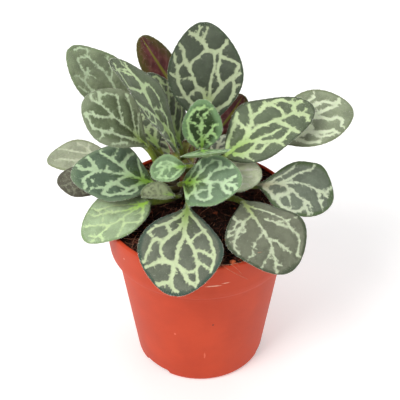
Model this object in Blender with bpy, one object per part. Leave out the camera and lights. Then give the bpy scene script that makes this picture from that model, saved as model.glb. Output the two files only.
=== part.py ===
"""Potted primulina: a rosette of net-marked, hairy leaves in a nine centimetre plastic pot.

The pot stands on the ground plane with its axis on Z. The camera side is -Y. The pot, the
soil, the crown and each leaf are separate closed solids. A leaf is one solid from the root
of its stalk to its tip: a ring of points is swept along the stalk and flattened into the
blade. All lengths below are millimetres, and Blender's own unit is the metre.
"""
import math
from collections import namedtuple

import bmesh
import bpy
from mathutils import Vector, noise

MM = 0.001
GAP = 0.3

# Pot
RIM_RADIUS = 45.0
POT_HEIGHT = 84.0
COLLAR_EDGE_RADIUS = 42.6
COLLAR_EDGE_HEIGHT = 64.2
BODY_TOP_RADIUS = 39.6
BODY_TOP_HEIGHT = 62.6
BASE_RADIUS = 30.9
BASE_CORNER = 2.4
WALL = 1.2
LIP = 0.8
FLOOR = 1.6
POT_SEGMENTS = 48
NOTCH_ANGLES = (110, 230, 350)
NOTCH_WIDTH = 10.0
NOTCH_HEIGHT = 2.4
NOTCH_DEPTH = 8.0

# Soil
SOIL_EDGE_HEIGHT = 80.6
SOIL_RISE = 1.6
SOIL_BUMP = 0.9
SOIL_RINGS = 7

# Crown, the short stem that carries every leaf
CROWN_X = -5.0
CROWN_Y = 11.0
CROWN_FOOT = 72.0
CROWN_SHOULDER = 88.0
CROWN_NECK = 99.5
CROWN_TOP = 102.0
CROWN_RADIUS = 5.2
CROWN_NECK_RADIUS = 4.0
CROWN_SEGMENTS = 20
ROOT_GAP = 0.45

# A stalk leaves the crown level up to this height, and steeper by so many degrees for each
# millimetre above it, as the younger leaves do.
STEEP_ABOVE = 91.0
STEEPER_BY = 7.0

# Leaf section
COLUMNS = 5
STALK_ROWS = 4
BLADE_ROWS = 11
BLADE_THICKNESS = 1.2
MARGIN_THICKNESS = 0.8
RIB_DEPTH = 0.9
TIP_HALF_WIDTH = 0.9
TIP_POWER = 0.6

# Each leaf: the place of its root on the crown (angle in degrees, height), the start and
# the tip of its blade, the way its upper face looks, the blade's width, how far its middle
# bows towards that face, where it is widest (1 is halfway, more is nearer the tip), how
# wedge-like its base is (1 is a wedge, 0.5 is round), the angle by which its halves fold
# up, the height of the waves in its margin, and its stalk's width.
Leaf = namedtuple("Leaf", "name root base tip facing width bow widest foot fold wave stalk")
LEAVES = (
    Leaf("leaf_back_tall", (52, 95), (3.5, 15.6, 116.5), (1.5, 34, 161), (0, -0.9, 0.45),
         34, 2, 1.05, 1.0, 6, 0.9, 3.0),
    Leaf("leaf_back_purple", (95, 91.5), (-5.5, 32, 117), (-26.5, 34, 153.5), (-0.3, 0.8, -0.3),
         16, 2, 1.2, 1.0, 8, 0.4, 2.6),
    Leaf("leaf_back_hidden", (60, 91.5), (7, 25, 106), (20.5, 36, 121.5), (0.2, 0.6, -0.7),
         15, 2, 1.1, 1.0, 6, 0.4, 2.4),
    Leaf("leaf_left_far", (150, 93.5), (-35, 26, 117), (-59, 33, 148.5), (0.3, -0.7, 0.6),
         21, 2, 1.1, 1.0, 6, 0.5, 2.8),
    Leaf("leaf_left_folded", (208, 97), (-11, 2, 112.5), (-39, 8, 156), (0.88, -0.1, 0.5),
         28, 3, 1.0, 1.0, 12, 0.8, 3.0),
    Leaf("leaf_left_shadowed", (118, 95.5), (-9, 15, 106), (-24.5, 24, 140), (0.6, -0.4, 0.65),
         23, 2, 1.0, 0.9, 6, 0.5, 2.6),
    Leaf("leaf_left_round", (190, 92), (-24, 3, 115), (-51, 8, 137), (0.1, -0.5, 0.85),
         27, 3, 1.25, 0.9, 5, 0.5, 3.0),
    Leaf("leaf_left_pale", (165, 87), (-40.5, 24, 93), (-73.5, 30, 89), (0, -0.35, 0.94),
         18, 3, 1.1, 1.0, 4, 0.5, 2.8),
    Leaf("leaf_left_broad", (205, 88), (-22, 2, 95), (-58.5, 0, 102), (0, -0.35, 0.94),
         29, 3, 1.0, 0.8, 6, 0.8, 3.0),
    Leaf("leaf_left_low", (186, 84.5), (-44, 5, 89), (-66, 8, 93.5), (0, -0.3, 0.95),
         18, 2, 1.1, 1.0, 4, 0.4, 2.6),
    Leaf("leaf_front_left", (228, 85.5), (-23.5, -6, 90), (-52.5, -21, 81), (-0.1, -0.3, 0.95),
         25, 4, 0.95, 0.6, 4, 0.4, 3.0),
    Leaf("leaf_front_broad", (270, 87), (-5.5, -12, 92.5), (-11, -56, 78.5), (0, -0.6, 0.8),
         37, 6, 1.25, 1.0, 3, 1.0, 3.2),
    Leaf("leaf_front_right", (312, 87), (19.5, -10, 93), (39, -42, 79.5), (0.2, -0.6, 0.75),
         35, 5, 1.05, 0.8, 3, 0.8, 3.0),
    Leaf("leaf_right", (345, 84.5), (26.5, 0, 95.5), (61, -3, 90.5), (0, -0.45, 0.9),
         28, 3, 1.25, 0.9, 5, 0.6, 3.0),
    Leaf("leaf_right_broad", (350, 94), (12, 4, 109), (51.5, 20, 125.5), (-0.1, -0.6, 0.8),
         28, 3, 0.9, 0.7, 6, 0.8, 3.0),
    Leaf("leaf_right_far", (15, 90), (30, 18, 108), (71, 30, 118), (0, -0.5, 0.85),
         27, 3, 1.15, 1.0, 5, 0.6, 2.8),
    Leaf("young_leaf_upright", (30, 98.5), (1, 5.8, 111.1), (1, 9.6, 135.8), (0, -0.9, 0.4),
         18, 1, 0.95, 0.9, 8, 0.4, 2.2),
    Leaf("young_leaf_front", (320, 98), (1, -2.3, 116.5), (3.5, -16, 124), (-0.12, 0.6, 0.8),
         22, -1, 1.0, 0.9, 4, 0.3, 2.2),
    Leaf("leaf_centre", (262, 94), (-7, -7.8, 102.6), (18.5, -14.6, 109.0), (-0.1, -0.5, 0.85),
         25, 2, 0.85, 0.6, 1, 0.4, 2.6),
    Leaf("leaf_centre_pale", (325, 90.5), (7, 2, 98), (28, 0, 102), (0, -0.5, 0.85),
         18, 2, 1.1, 0.9, 5, 0.4, 2.4),
    Leaf("young_leaf_left", (233, 99), (-6.5, -10.6, 113.7), (-21.5, -13.6, 111.7), (-0.1, -0.5, 0.85),
         13, 1, 1.0, 0.8, 16, 0.3, 1.7),
    Leaf("young_leaf_curled", (245, 90.5), (-12, -5, 93), (-26.5, -8, 95.7), (0, -0.3, 0.95),
         10, 1, 1.0, 0.8, 35, 0.3, 1.8),
    Leaf("leaf_rear_low_left", (112, 85), (-13, 25, 91), (-21, 57, 87), (0, 0.1, 1),
         28, 5, 1.1, 0.9, 4, 0.6, 3.0),
    Leaf("leaf_rear_low_right", (75, 85.5), (6, 24, 92), (16, 57, 88), (0, 0.1, 1),
         28, 5, 1.1, 0.9, 4, 0.6, 3.0),
    Leaf("leaf_rear_right", (42, 88), (16, 24, 98), (41, 48, 101), (0, 0, 1),
         27, 5, 1.1, 0.9, 4, 0.6, 2.8),
    Leaf("leaf_rear_left", (135, 90), (-20, 26, 98), (-40, 50, 103), (0, 0, 1),
         26, 4, 1.1, 0.9, 4, 0.6, 2.8),
)


def clear_scene():
    """Remove what the start-up file holds."""
    for item in list(bpy.data.objects):
        bpy.data.objects.remove(item, do_unlink=True)


def make_material(name, color, roughness):
    """A Principled material of one colour, with no metal in it."""
    material = bpy.data.materials.new(name)
    material.use_nodes = True
    shader = material.node_tree.nodes["Principled BSDF"]
    shader.inputs["Base Color"].default_value = (*color, 1)
    shader.inputs["Roughness"].default_value = roughness
    shader.inputs["Metallic"].default_value = 0
    return material


def add_object(name, bm, material):
    """Turn a bmesh drawn in millimetres into an object in metres."""
    bmesh.ops.scale(bm, vec=(MM, MM, MM), verts=bm.verts)
    mesh = bpy.data.meshes.new(name)
    bm.to_mesh(mesh)
    bm.free()
    mesh.materials.append(material)
    mesh.shade_smooth()
    mesh.set_sharp_from_angle(angle=math.radians(40))
    item = bpy.data.objects.new(name, mesh)
    bpy.context.collection.objects.link(item)
    return item


def spin_profile(profile, segments):
    """Turn a profile of (radius, height) points round Z into a closed bmesh."""
    bm = bmesh.new()
    points = [bm.verts.new((radius, 0, height)) for radius, height in profile]
    edges = [bm.edges.new(pair) for pair in zip(points, points[1:])]
    bmesh.ops.spin(
        bm, geom=points + edges, cent=(0, 0, 0), axis=(0, 0, 1),
        angle=math.tau, steps=segments, use_merge=True,
    )
    bmesh.ops.remove_doubles(bm, verts=bm.verts, dist=0.001)
    bmesh.ops.recalc_face_normals(bm, faces=bm.faces)
    return bm


def cut(item, cutters, solver="EXACT"):
    """Cut each cutter out of an object and remove the cutters."""
    for cutter in cutters:
        cutter.hide_render = True
        cutter.display_type = "WIRE"
        modifier = item.modifiers.new("cut", "BOOLEAN")
        modifier.operation = "DIFFERENCE"
        modifier.solver = solver
        modifier.object = cutter
        bpy.context.view_layer.objects.active = item
        bpy.ops.object.modifier_apply(modifier=modifier.name)
        bpy.data.objects.remove(cutter, do_unlink=True)


def body_radius(height):
    """Outer radius of the pot's body below its collar."""
    return BASE_RADIUS + (BODY_TOP_RADIUS - BASE_RADIUS) * height / BODY_TOP_HEIGHT


def collar_radius(height):
    """Outer radius of the pot's collar."""
    share = (height - COLLAR_EDGE_HEIGHT) / (POT_HEIGHT - COLLAR_EDGE_HEIGHT)
    return COLLAR_EDGE_RADIUS + (RIM_RADIUS - COLLAR_EDGE_RADIUS) * share


def inner_profile():
    """Inside of the pot from the rim down to the floor, as (radius, height) points."""
    lip_foot = POT_HEIGHT - 2.5 * LIP
    return [
        (collar_radius(POT_HEIGHT) - WALL - LIP, POT_HEIGHT - 0.5 * LIP),
        (collar_radius(lip_foot) - WALL, lip_foot),
        (collar_radius(COLLAR_EDGE_HEIGHT) - WALL, COLLAR_EDGE_HEIGHT + WALL),
        (body_radius(BODY_TOP_HEIGHT) - WALL, BODY_TOP_HEIGHT + 0.5 * WALL),
        (body_radius(BASE_CORNER + FLOOR) - WALL, BASE_CORNER + FLOOR),
        (body_radius(FLOOR) - WALL - BASE_CORNER, FLOOR),
    ]


def make_pot(material):
    """The pot: a thin wall with a wider collar, a rolled lip and three notches for water."""
    corner_foot = body_radius(BASE_CORNER) - BASE_CORNER
    outer = [(0, 0)]
    for step in range(4):
        turn = math.radians(30 * step)
        outer.append((
            corner_foot + BASE_CORNER * math.sin(turn),
            BASE_CORNER * (1 - math.cos(turn)),
        ))
    outer += [
        (BODY_TOP_RADIUS, BODY_TOP_HEIGHT),
        (COLLAR_EDGE_RADIUS - 0.7, COLLAR_EDGE_HEIGHT - 0.5),
        (COLLAR_EDGE_RADIUS, COLLAR_EDGE_HEIGHT),
        (collar_radius(POT_HEIGHT - LIP), POT_HEIGHT - LIP),
        (RIM_RADIUS - 0.2, POT_HEIGHT - 0.25 * LIP),
        (RIM_RADIUS - 0.8, POT_HEIGHT),
    ]
    profile = outer + inner_profile() + [(0, FLOOR)]
    pot = add_object("pot", spin_profile(profile, POT_SEGMENTS), material)
    cutters = []
    for angle in NOTCH_ANGLES:
        bm = bmesh.new()
        bmesh.ops.create_cube(bm, size=1)
        bmesh.ops.scale(bm, vec=(NOTCH_DEPTH, NOTCH_WIDTH, 2 * NOTCH_HEIGHT), verts=bm.verts)
        bmesh.ops.bevel(
            bm, geom=[e for e in bm.edges if abs((e.verts[0].co - e.verts[1].co).x) > 1],
            offset=1.2, segments=2, affect="EDGES", profile=0.5,
        )
        bmesh.ops.translate(bm, vec=(BASE_RADIUS, 0, 0), verts=bm.verts)
        cutter = add_object("notch_cutter", bm, material)
        cutter.rotation_euler.z = math.radians(angle)
        cutters.append(cutter)
    cut(pot, cutters)
    return pot


def soil_height(radius, angle):
    """Height of the soil's lumpy top at one place."""
    inner = collar_radius(SOIL_EDGE_HEIGHT) - WALL
    mound = SOIL_RISE * (1 - (radius / inner) ** 2)
    place = Vector((radius * math.cos(angle), radius * math.sin(angle), 0)) * 0.16
    return SOIL_EDGE_HEIGHT + mound + SOIL_BUMP * noise.noise(place)


def make_soil(material):
    """The potting mix: it fills the pot and ends in a low, lumpy mound."""
    edge = collar_radius(SOIL_EDGE_HEIGHT) - WALL - GAP
    profile = [(edge * ring / SOIL_RINGS, SOIL_EDGE_HEIGHT) for ring in range(SOIL_RINGS + 1)]
    profile += [(radius - GAP, height + GAP) for radius, height in inner_profile()[2:]]
    profile.append((0, FLOOR + GAP))
    bm = spin_profile(profile, POT_SEGMENTS)
    for vert in bm.verts:
        if abs(vert.co.z - SOIL_EDGE_HEIGHT) < 0.01:
            radius = math.hypot(vert.co.x, vert.co.y)
            vert.co.z = soil_height(radius, math.atan2(vert.co.y, vert.co.x))
    bmesh.ops.triangulate(bm, faces=bm.faces)
    soil = add_object("soil", bm, material)
    bm = bmesh.new()
    bmesh.ops.create_cone(
        bm, cap_ends=True, segments=CROWN_SEGMENTS, radius1=CROWN_RADIUS + GAP,
        radius2=CROWN_RADIUS + GAP, depth=2 * (POT_HEIGHT - CROWN_FOOT),
    )
    hole_centre = CROWN_FOOT - GAP + POT_HEIGHT - CROWN_FOOT
    bmesh.ops.translate(bm, vec=(CROWN_X, CROWN_Y, hole_centre), verts=bm.verts)
    cut(soil, [add_object("crown_hole_cutter", bm, material)])
    return soil


def crown_radius(height):
    """Radius of the crown at a height."""
    if height <= CROWN_SHOULDER:
        return CROWN_RADIUS
    share = (height - CROWN_SHOULDER) / (CROWN_NECK - CROWN_SHOULDER)
    return CROWN_RADIUS + (CROWN_NECK_RADIUS - CROWN_RADIUS) * share


def make_crown(material):
    """The crown: a short fleshy stem that stands in the soil and ends in a blunt bud."""
    profile = [(0, CROWN_FOOT), (CROWN_RADIUS, CROWN_FOOT), (CROWN_RADIUS, CROWN_SHOULDER)]
    dome = CROWN_TOP - CROWN_NECK
    for step in range(4):
        turn = math.radians(30 * step)
        profile.append((
            CROWN_NECK_RADIUS * math.cos(turn),
            CROWN_NECK + dome * math.sin(turn),
        ))
    bm = spin_profile(profile, CROWN_SEGMENTS)
    bmesh.ops.translate(bm, vec=(CROWN_X, CROWN_Y, 0), verts=bm.verts)
    return add_object("crown", bm, material)


def square_to(direction, wish):
    """The unit vector nearest to a wished one that is square to a direction."""
    return (wish - direction * wish.dot(direction)).normalized()


def bezier(points, share):
    """Place and direction on a Bezier curve, by repeated halving of its control lines."""
    points = list(points)
    while len(points) > 2:
        points = [a.lerp(b, share) for a, b in zip(points, points[1:])]
    return points[0].lerp(points[1], share), (points[1] - points[0]).normalized()


def outline(leaf, share):
    """Half the blade's width: a wedge at its base that swells and rounds off at the tip."""
    power = leaf.foot + (TIP_POWER - leaf.foot) * share
    swell = math.sin(math.pi * min(share, 0.999) ** leaf.widest) ** power
    stalk = 0.5 * leaf.stalk * (1 - share) ** 2
    return math.hypot(0.5 * leaf.width * swell, stalk) + TIP_HALF_WIDTH * share ** 4


def stalk_ring(place, side, face, leaf):
    """Points of the stalk's oval section, upper ones first."""
    ring = []
    for upper in (1, -1):
        for column in range(COLUMNS):
            turn = math.pi * (column + 0.5) / COLUMNS
            across = -0.5 * leaf.stalk * math.cos(turn)
            up = upper * 0.42 * leaf.stalk * math.sin(turn)
            ring.append(place + side * across + face * up)
    return ring


def blade_ring(place, side, face, leaf, share):
    """Points of the blade's section, upper ones first: folded, waved, thin at the margin."""
    half = outline(leaf, share)
    scale = min(1, leaf.width / 20)
    rib = RIB_DEPTH * scale * (1 - share)
    ring = []
    for upper in (1, -1):
        for column in range(COLUMNS):
            across = 2 * column / (COLUMNS - 1) - 1
            thickness = BLADE_THICKNESS + (MARGIN_THICKNESS - BLADE_THICKNESS) * abs(across)
            turn = math.tau * 1.6 * share + 1.9 * across + math.radians(2 * leaf.root[0])
            lift = leaf.wave * across ** 2 * math.sin(turn) * math.sin(math.pi * share)
            lift += abs(across) * half * math.tan(math.radians(leaf.fold))
            lift += upper * 0.5 * thickness
            if upper < 0 and across == 0:
                lift -= rib
            ring.append(place + side * across * half + face * lift)
    return ring


def leaf_rings(leaf):
    """All sections of one leaf, from its root on the crown to its tip."""
    base = Vector(leaf.base)
    tip = Vector(leaf.tip)
    facing = Vector(leaf.facing)
    chord = (tip - base).normalized()
    middle = (base + tip) / 2 + square_to(chord, facing) * 2 * leaf.bow
    blade_line = (base, middle, tip)
    angle = math.radians(leaf.root[0])
    outwards = Vector((math.cos(angle), math.sin(angle), 0))
    rise = math.radians(STEEPER_BY * max(0, leaf.root[1] - STEEP_ABOVE))
    clear = ROOT_GAP + 0.42 * leaf.stalk * math.sin(rise)
    root = Vector((CROWN_X, CROWN_Y, leaf.root[1]))
    root += outwards * (crown_radius(leaf.root[1]) + clear)
    leaving = outwards * math.cos(rise) + Vector((0, 0, math.sin(rise)))
    reach = 0.4 * (base - root).length
    start = (middle - base).normalized()
    stalk_line = (root, root + leaving * reach, base - start * reach, base)
    rings = []
    for row in range(STALK_ROWS):
        share = row / STALK_ROWS
        place, along = bezier(stalk_line, share)
        face = square_to(along, Vector((0, 0, 1)).lerp(facing, share))
        rings.append(stalk_ring(place, along.cross(face), face, leaf))
    for row in range(BLADE_ROWS + 1):
        share = (1 - math.cos(math.pi * row / BLADE_ROWS)) / 2
        place, along = bezier(blade_line, share)
        face = square_to(along, facing)
        rings.append(blade_ring(place, along.cross(face), face, leaf, share))
    return rings


def make_leaf(leaf, material):
    """One leaf as a closed solid, its upper and lower faces split along the same diagonals."""
    bm = bmesh.new()
    rings = [[bm.verts.new(point) for point in ring] for ring in leaf_rings(leaf)]
    loop = list(range(COLUMNS)) + list(range(2 * COLUMNS - 1, COLUMNS - 1, -1))
    for near, far in zip(rings, rings[1:]):
        for first, second in zip(loop, loop[1:] + loop[:1]):
            if second == first - 1:
                bm.faces.new((near[first], far[first], far[second]))
                bm.faces.new((near[first], far[second], near[second]))
            else:
                bm.faces.new((near[first], far[first], near[second]))
                bm.faces.new((near[second], far[first], far[second]))
    bmesh.ops.triangulate(bm, faces=[
        bm.faces.new([rings[0][index] for index in loop]),
        bm.faces.new([rings[-1][index] for index in reversed(loop)]),
    ])
    bmesh.ops.recalc_face_normals(bm, faces=bm.faces)
    return add_object(leaf.name, bm, material)


def build():
    """Model the whole potted plant."""
    clear_scene()
    make_pot(make_material("orange_plastic", (0.62, 0.11, 0.05), 0.55))
    make_soil(make_material("dark_soil", (0.03, 0.018, 0.014), 0.95))
    make_crown(make_material("crown_green", (0.22, 0.25, 0.07), 0.6))
    mature = make_material("leaf_green", (0.12, 0.19, 0.11), 0.55)
    young = make_material("young_leaf_green", (0.12, 0.32, 0.14), 0.6)
    for leaf in LEAVES:
        make_leaf(leaf, young if leaf.name.startswith("young") else mature)


build()
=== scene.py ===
# %% [markdown]
# # A potted primulina
# A primulina is a small house plant whose hairy leaves stand in a rosette. Each leaf is dark,
# with a pale net over its veins. This lesson dresses a plain model of the plant: fine leaves,
# their hairs, loose potting mix and a moulded plastic pot. The plain model comes first, as a
# fixed frame, because every piece below has to stay where it is. Lengths in the lists below
# are millimetres, and MM turns them into Blender's metres.

import math
import random
from collections import namedtuple

import bmesh
import bpy
import numpy as np
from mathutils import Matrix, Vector, noise


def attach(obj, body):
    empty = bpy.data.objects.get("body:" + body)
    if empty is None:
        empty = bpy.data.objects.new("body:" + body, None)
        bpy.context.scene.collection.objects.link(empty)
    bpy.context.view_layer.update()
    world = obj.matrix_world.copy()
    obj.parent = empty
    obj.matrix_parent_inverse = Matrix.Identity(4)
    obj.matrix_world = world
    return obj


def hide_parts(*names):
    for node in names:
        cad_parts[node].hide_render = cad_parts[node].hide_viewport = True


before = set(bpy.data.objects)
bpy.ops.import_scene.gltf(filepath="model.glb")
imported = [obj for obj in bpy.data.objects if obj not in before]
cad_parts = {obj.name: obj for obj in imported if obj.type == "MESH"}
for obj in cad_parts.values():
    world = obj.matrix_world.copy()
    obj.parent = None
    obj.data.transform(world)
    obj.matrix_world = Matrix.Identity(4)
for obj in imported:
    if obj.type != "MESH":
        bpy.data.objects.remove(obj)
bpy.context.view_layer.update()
MM = 0.001

# %% [markdown]
# ## The camera
# The photograph looks down on the plant from the front. A long lens half a metre away gives
# its mild perspective. Pointing the camera with a track quaternion keeps it level. The view is
# set to Standard, because the default view would grey the white ground and the bright orange.

# %% The camera
CAMERA_PLACE = Vector((0, -397.2, 390.8)) * MM
LOOK_AT = Vector((0, 0, 87.2)) * MM
FOCAL_PIXELS = 1082
IMAGE_PIXELS = 400

camera_data = bpy.data.cameras.new("camera")
camera_data.sensor_width = 36
camera_data.lens = camera_data.sensor_width * FOCAL_PIXELS / IMAGE_PIXELS
camera_data.clip_start = 0.01
camera = bpy.data.objects.new("camera", camera_data)
camera.location = CAMERA_PLACE
camera.rotation_euler = (LOOK_AT - CAMERA_PLACE).to_track_quat("-Z", "Y").to_euler()
bpy.context.collection.objects.link(camera)
bpy.context.scene.camera = camera
bpy.context.scene.view_settings.view_transform = "Standard"
print("lens:", round(camera_data.lens, 1), "mm")

# %% [markdown]
# ## Small helpers for materials
# Every finish below is a Principled shader fed by a few textures. Small helpers keep that
# short: one makes the material, one adds a node and wires it, and the others each add one kind.

# %% Material helpers
def new_material(name, roughness=0.5):
    """A material with one Principled shader; returns the material, its tree and the shader."""
    material = bpy.data.materials.new(name)
    material.use_nodes = True
    tree = material.node_tree
    shader = tree.nodes["Principled BSDF"]
    shader.inputs["Roughness"].default_value = roughness
    return material, tree, shader


def add_node(tree, kind, inputs=None, **settings):
    """Add a node, set its properties, and give each named input a value or a link."""
    node = tree.nodes.new(kind)
    for name, value in settings.items():
        setattr(node, name, value)
    for name, value in (inputs or {}).items():
        if isinstance(value, bpy.types.NodeSocket):
            tree.links.new(value, node.inputs[name])
        else:
            node.inputs[name].default_value = value
    return node


def math_node(tree, operation, first, second=0.0, third=0.0, clamp=False):
    """One Math node; returns its output."""
    node = add_node(tree, "ShaderNodeMath", {0: first, 1: second, 2: third},
                    operation=operation, use_clamp=clamp)
    return node.outputs[0]


def step_node(tree, value, low, high):
    """A smooth step from 0 at low to 1 at high."""
    node = add_node(tree, "ShaderNodeMapRange",
                    {"Value": value, "From Min": low, "From Max": high},
                    interpolation_type="SMOOTHSTEP")
    return node.outputs["Result"]


def mix_node(tree, factor, first, second, blend="MIX"):
    """Mix two colours; each may be a tuple or a socket."""
    node = tree.nodes.new("ShaderNodeMix")
    node.data_type = "RGBA"
    node.blend_type = blend
    for index, value in ((0, factor), (6, first), (7, second)):
        if isinstance(value, bpy.types.NodeSocket):
            tree.links.new(value, node.inputs[index])
        elif index:
            node.inputs[index].default_value = (*value, 1)
        else:
            node.inputs[index].default_value = value
    return node.outputs[2]


def noise_node(tree, vector, scale, detail=4.0, roughness=0.5, distortion=0.0):
    """A noise texture; returns its grey output."""
    node = add_node(tree, "ShaderNodeTexNoise",
                    {"Vector": vector, "Scale": scale, "Detail": detail,
                     "Roughness": roughness, "Distortion": distortion})
    return node.outputs["Fac"]


def object_place(tree):
    """The place on the object, in metres."""
    return tree.nodes.new("ShaderNodeTexCoord").outputs["Object"]


def darker(colour, factor):
    """A colour made darker or lighter by a factor."""
    return tuple(min(1.0, factor * part) for part in colour)


def add_bump(tree, shader, height, strength, distance):
    """Feed a height into the shader's normal."""
    bump = add_node(tree, "ShaderNodeBump",
                    {"Height": height, "Strength": strength, "Distance": distance})
    tree.links.new(bump.outputs["Normal"], shader.inputs["Normal"])


# %% [markdown]
# ## The floor and the light
# The photograph is a product picture: white ground, and light so soft that the shadows are
# faint. A large plane stands for the ground. One broad lamp at the upper left gives the pot
# its bright side, and two weaker ones open the shadows.

# %% The floor and the light
def deselect():
    """Leave edit mode and select nothing."""
    if bpy.context.object and bpy.context.object.mode != "OBJECT":
        bpy.ops.object.mode_set(mode="OBJECT")
    bpy.ops.object.select_all(action="DESELECT")


deselect()
bpy.ops.mesh.primitive_plane_add(size=8)
floor = bpy.context.object
floor.name = "floor"
floor_material, floor_tree, floor_shader = new_material("white_ground", 0.9)
floor_shader.inputs["Base Color"].default_value = (0.93, 0.93, 0.93, 1)
floor_shader.inputs["Emission Color"].default_value = (1, 1, 1, 1)
floor_shader.inputs["Emission Strength"].default_value = 0.3
floor_shader.inputs["Specular IOR Level"].default_value = 0.1
floor.data.materials.append(floor_material)


def add_lamp(name, place, size, watts, colour=(1, 1, 1)):
    """A square area lamp that faces the plant."""
    data = bpy.data.lights.new(name, "AREA")
    data.shape = "SQUARE"
    data.size = size
    data.energy = watts
    data.color = colour
    lamp = bpy.data.objects.new(name, data)
    lamp.location = place
    aim = Vector((0, 0, 0.09)) - Vector(place)
    lamp.rotation_euler = aim.to_track_quat("-Z", "Y").to_euler()
    bpy.context.collection.objects.link(lamp)
    return lamp


add_lamp("key", (-0.75, -0.75, 1.25), 0.7, 15.5, (1, 0.985, 0.96))
add_lamp("fill", (1.1, -0.7, 0.9), 1.0, 2.5, (0.97, 0.985, 1))
add_lamp("top", (0.1, 0.5, 1.4), 1.2, 7)

world = bpy.data.worlds.new("studio")
bpy.context.scene.world = world
world.use_nodes = True
world.node_tree.nodes["Background"].inputs["Color"].default_value = (1, 1, 1, 1)
world.node_tree.nodes["Background"].inputs["Strength"].default_value = 0.34
print("lamps: 3")

# %% [markdown]
# ## Turned pieces
# A plastic pot, its filling and the plant's short stem are all round. Each could be carved
# from a cylinder, but a real mould is turned on a lathe. So half of the section is drawn as a
# row of points, and the spin operator sweeps it round the Z axis.

# %% A lathe
def turn(name, profile, steps, middle=(0, 0)):
    """Spin a profile of (radius, height) points in millimetres round a vertical axis."""
    mesh = bpy.data.meshes.new(name)
    points = [(middle[0] * MM + radius * MM, middle[1] * MM, height * MM)
              for radius, height in profile]
    mesh.from_pydata(points, [(i, i + 1) for i in range(len(points) - 1)], [])
    piece = bpy.data.objects.new(name, mesh)
    bpy.context.collection.objects.link(piece)
    deselect()
    bpy.context.view_layer.objects.active = piece
    piece.select_set(True)
    bpy.ops.object.mode_set(mode="EDIT")
    bpy.ops.mesh.select_all(action="SELECT")
    bpy.ops.mesh.spin(steps=steps, angle=math.tau, axis=(0, 0, 1),
                      center=(middle[0] * MM, middle[1] * MM, 0))
    bpy.ops.mesh.select_all(action="SELECT")
    bpy.ops.mesh.remove_doubles(threshold=1e-6)
    bpy.ops.mesh.normals_make_consistent(inside=False)
    bpy.ops.object.mode_set(mode="OBJECT")
    return piece


def smooth(piece, degrees=40):
    """Shade a piece smooth, except across edges sharper than the angle."""
    deselect()
    bpy.context.view_layer.objects.active = piece
    piece.select_set(True)
    bpy.ops.object.shade_smooth_by_angle(angle=math.radians(degrees))


def dress(piece, material, node_slot, *nodes):
    """Give a piece its material, its body and the plain nodes that it stands for."""
    piece.data.materials.clear()
    piece.data.materials.append(material)
    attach(piece, "root")
    if nodes:
        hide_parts(*nodes)
    print(f"{piece.name}: {len(piece.data.polygons)} faces")


# %% [markdown]
# ## The pot's plastic
# The pot is thin polypropylene, coloured brick orange all the way through. It is matt, but its
# skin is not even: it has faint clouds in its colour, fine pale scratches from the shelf, and a
# grain that breaks up its shine. Noise stretched along one axis makes scratches, because a
# scratch is a long thin speck. The few scuffs and spots that stand out have a place of their
# own: each is a ragged ellipse, given by its middle, its size and its colour.

# %% The pot's plastic
PALE_SCUFF = (0.80, 0.42, 0.30)
DARK_SPOT = (0.20, 0.035, 0.02)
SCUFFS = (
    ((5.9, -43.1, 72.6), (4.6, 1.4, 0.42), PALE_SCUFF),
    ((11.5, -42.4, 73.6), (2.4, 1.4, 0.3), PALE_SCUFF),
    ((-34.1, -27.7, 75.1), (0.5, 0.5, 0.6), PALE_SCUFF),
    ((6.0, -36.3, 42.5), (0.55, 0.55, 0.8), DARK_SPOT),
    ((-11.7, -33.7, 34.2), (0.7, 0.7, 0.9), (0.72, 0.16, 0.09)),
    ((2.2, -33.6, 19.0), (0.5, 0.5, 4.5), (0.70, 0.15, 0.08)),
)


def make_orange_plastic():
    material, tree, shader = new_material("orange_plastic_moulded", 0.5)
    place = object_place(tree)
    clouds = noise_node(tree, place, 45, 5, 0.55)
    colour = mix_node(tree, step_node(tree, clouds, 0.3, 0.7),
                      (0.52, 0.052, 0.015), (0.60, 0.066, 0.021))
    streaks = add_node(tree, "ShaderNodeMapping",
                       {"Vector": place, "Scale": (40, 40, 7), "Rotation": (0.5, 0.2, 0.3)})
    scratch = noise_node(tree, streaks.outputs["Vector"], 9, 8, 0.75)
    scratch = step_node(tree, scratch, 0.66, 0.74)
    patch = step_node(tree, noise_node(tree, place, 60, 2), 0.5, 0.66)
    scratch = math_node(tree, "MULTIPLY", scratch, patch)
    colour = mix_node(tree, math_node(tree, "MULTIPLY", scratch, 0.35), colour, (0.86, 0.45, 0.33))
    specks = step_node(tree, noise_node(tree, place, 900, 2), 0.72, 0.8)
    colour = mix_node(tree, math_node(tree, "MULTIPLY", specks, 0.4), colour, (0.30, 0.06, 0.03))
    for middle, size, tone in SCUFFS:
        away = add_node(tree, "ShaderNodeMapping",
                        {"Vector": place, "Location": Vector(middle) * MM, "Scale": Vector(size) * MM},
                        vector_type="TEXTURE").outputs["Vector"]
        far = add_node(tree, "ShaderNodeVectorMath", {0: away}, operation="LENGTH").outputs["Value"]
        ragged = math_node(tree, "MULTIPLY_ADD", noise_node(tree, place, 1100, 3, 0.7), 1.4, far)
        colour = mix_node(tree, step_node(tree, ragged, 1.7, 1.2), colour, tone)
    tree.links.new(colour, shader.inputs["Base Color"])
    shader.inputs["Specular IOR Level"].default_value = 0.2
    grain = noise_node(tree, place, 1500, 3, 0.6)
    rough = add_node(tree, "ShaderNodeMapRange",
                     {"Value": clouds, "To Min": 0.42, "To Max": 0.6}).outputs["Result"]
    tree.links.new(rough, shader.inputs["Roughness"])
    height = math_node(tree, "ADD", grain, math_node(tree, "MULTIPLY", scratch, -0.8))
    add_bump(tree, shader, height, 0.16, 0.0003)
    shader.inputs["Subsurface Weight"].default_value = 0.06
    shader.inputs["Subsurface Radius"].default_value = (0.004, 0.001, 0.0005)
    return material


orange_plastic = make_orange_plastic()

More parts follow.
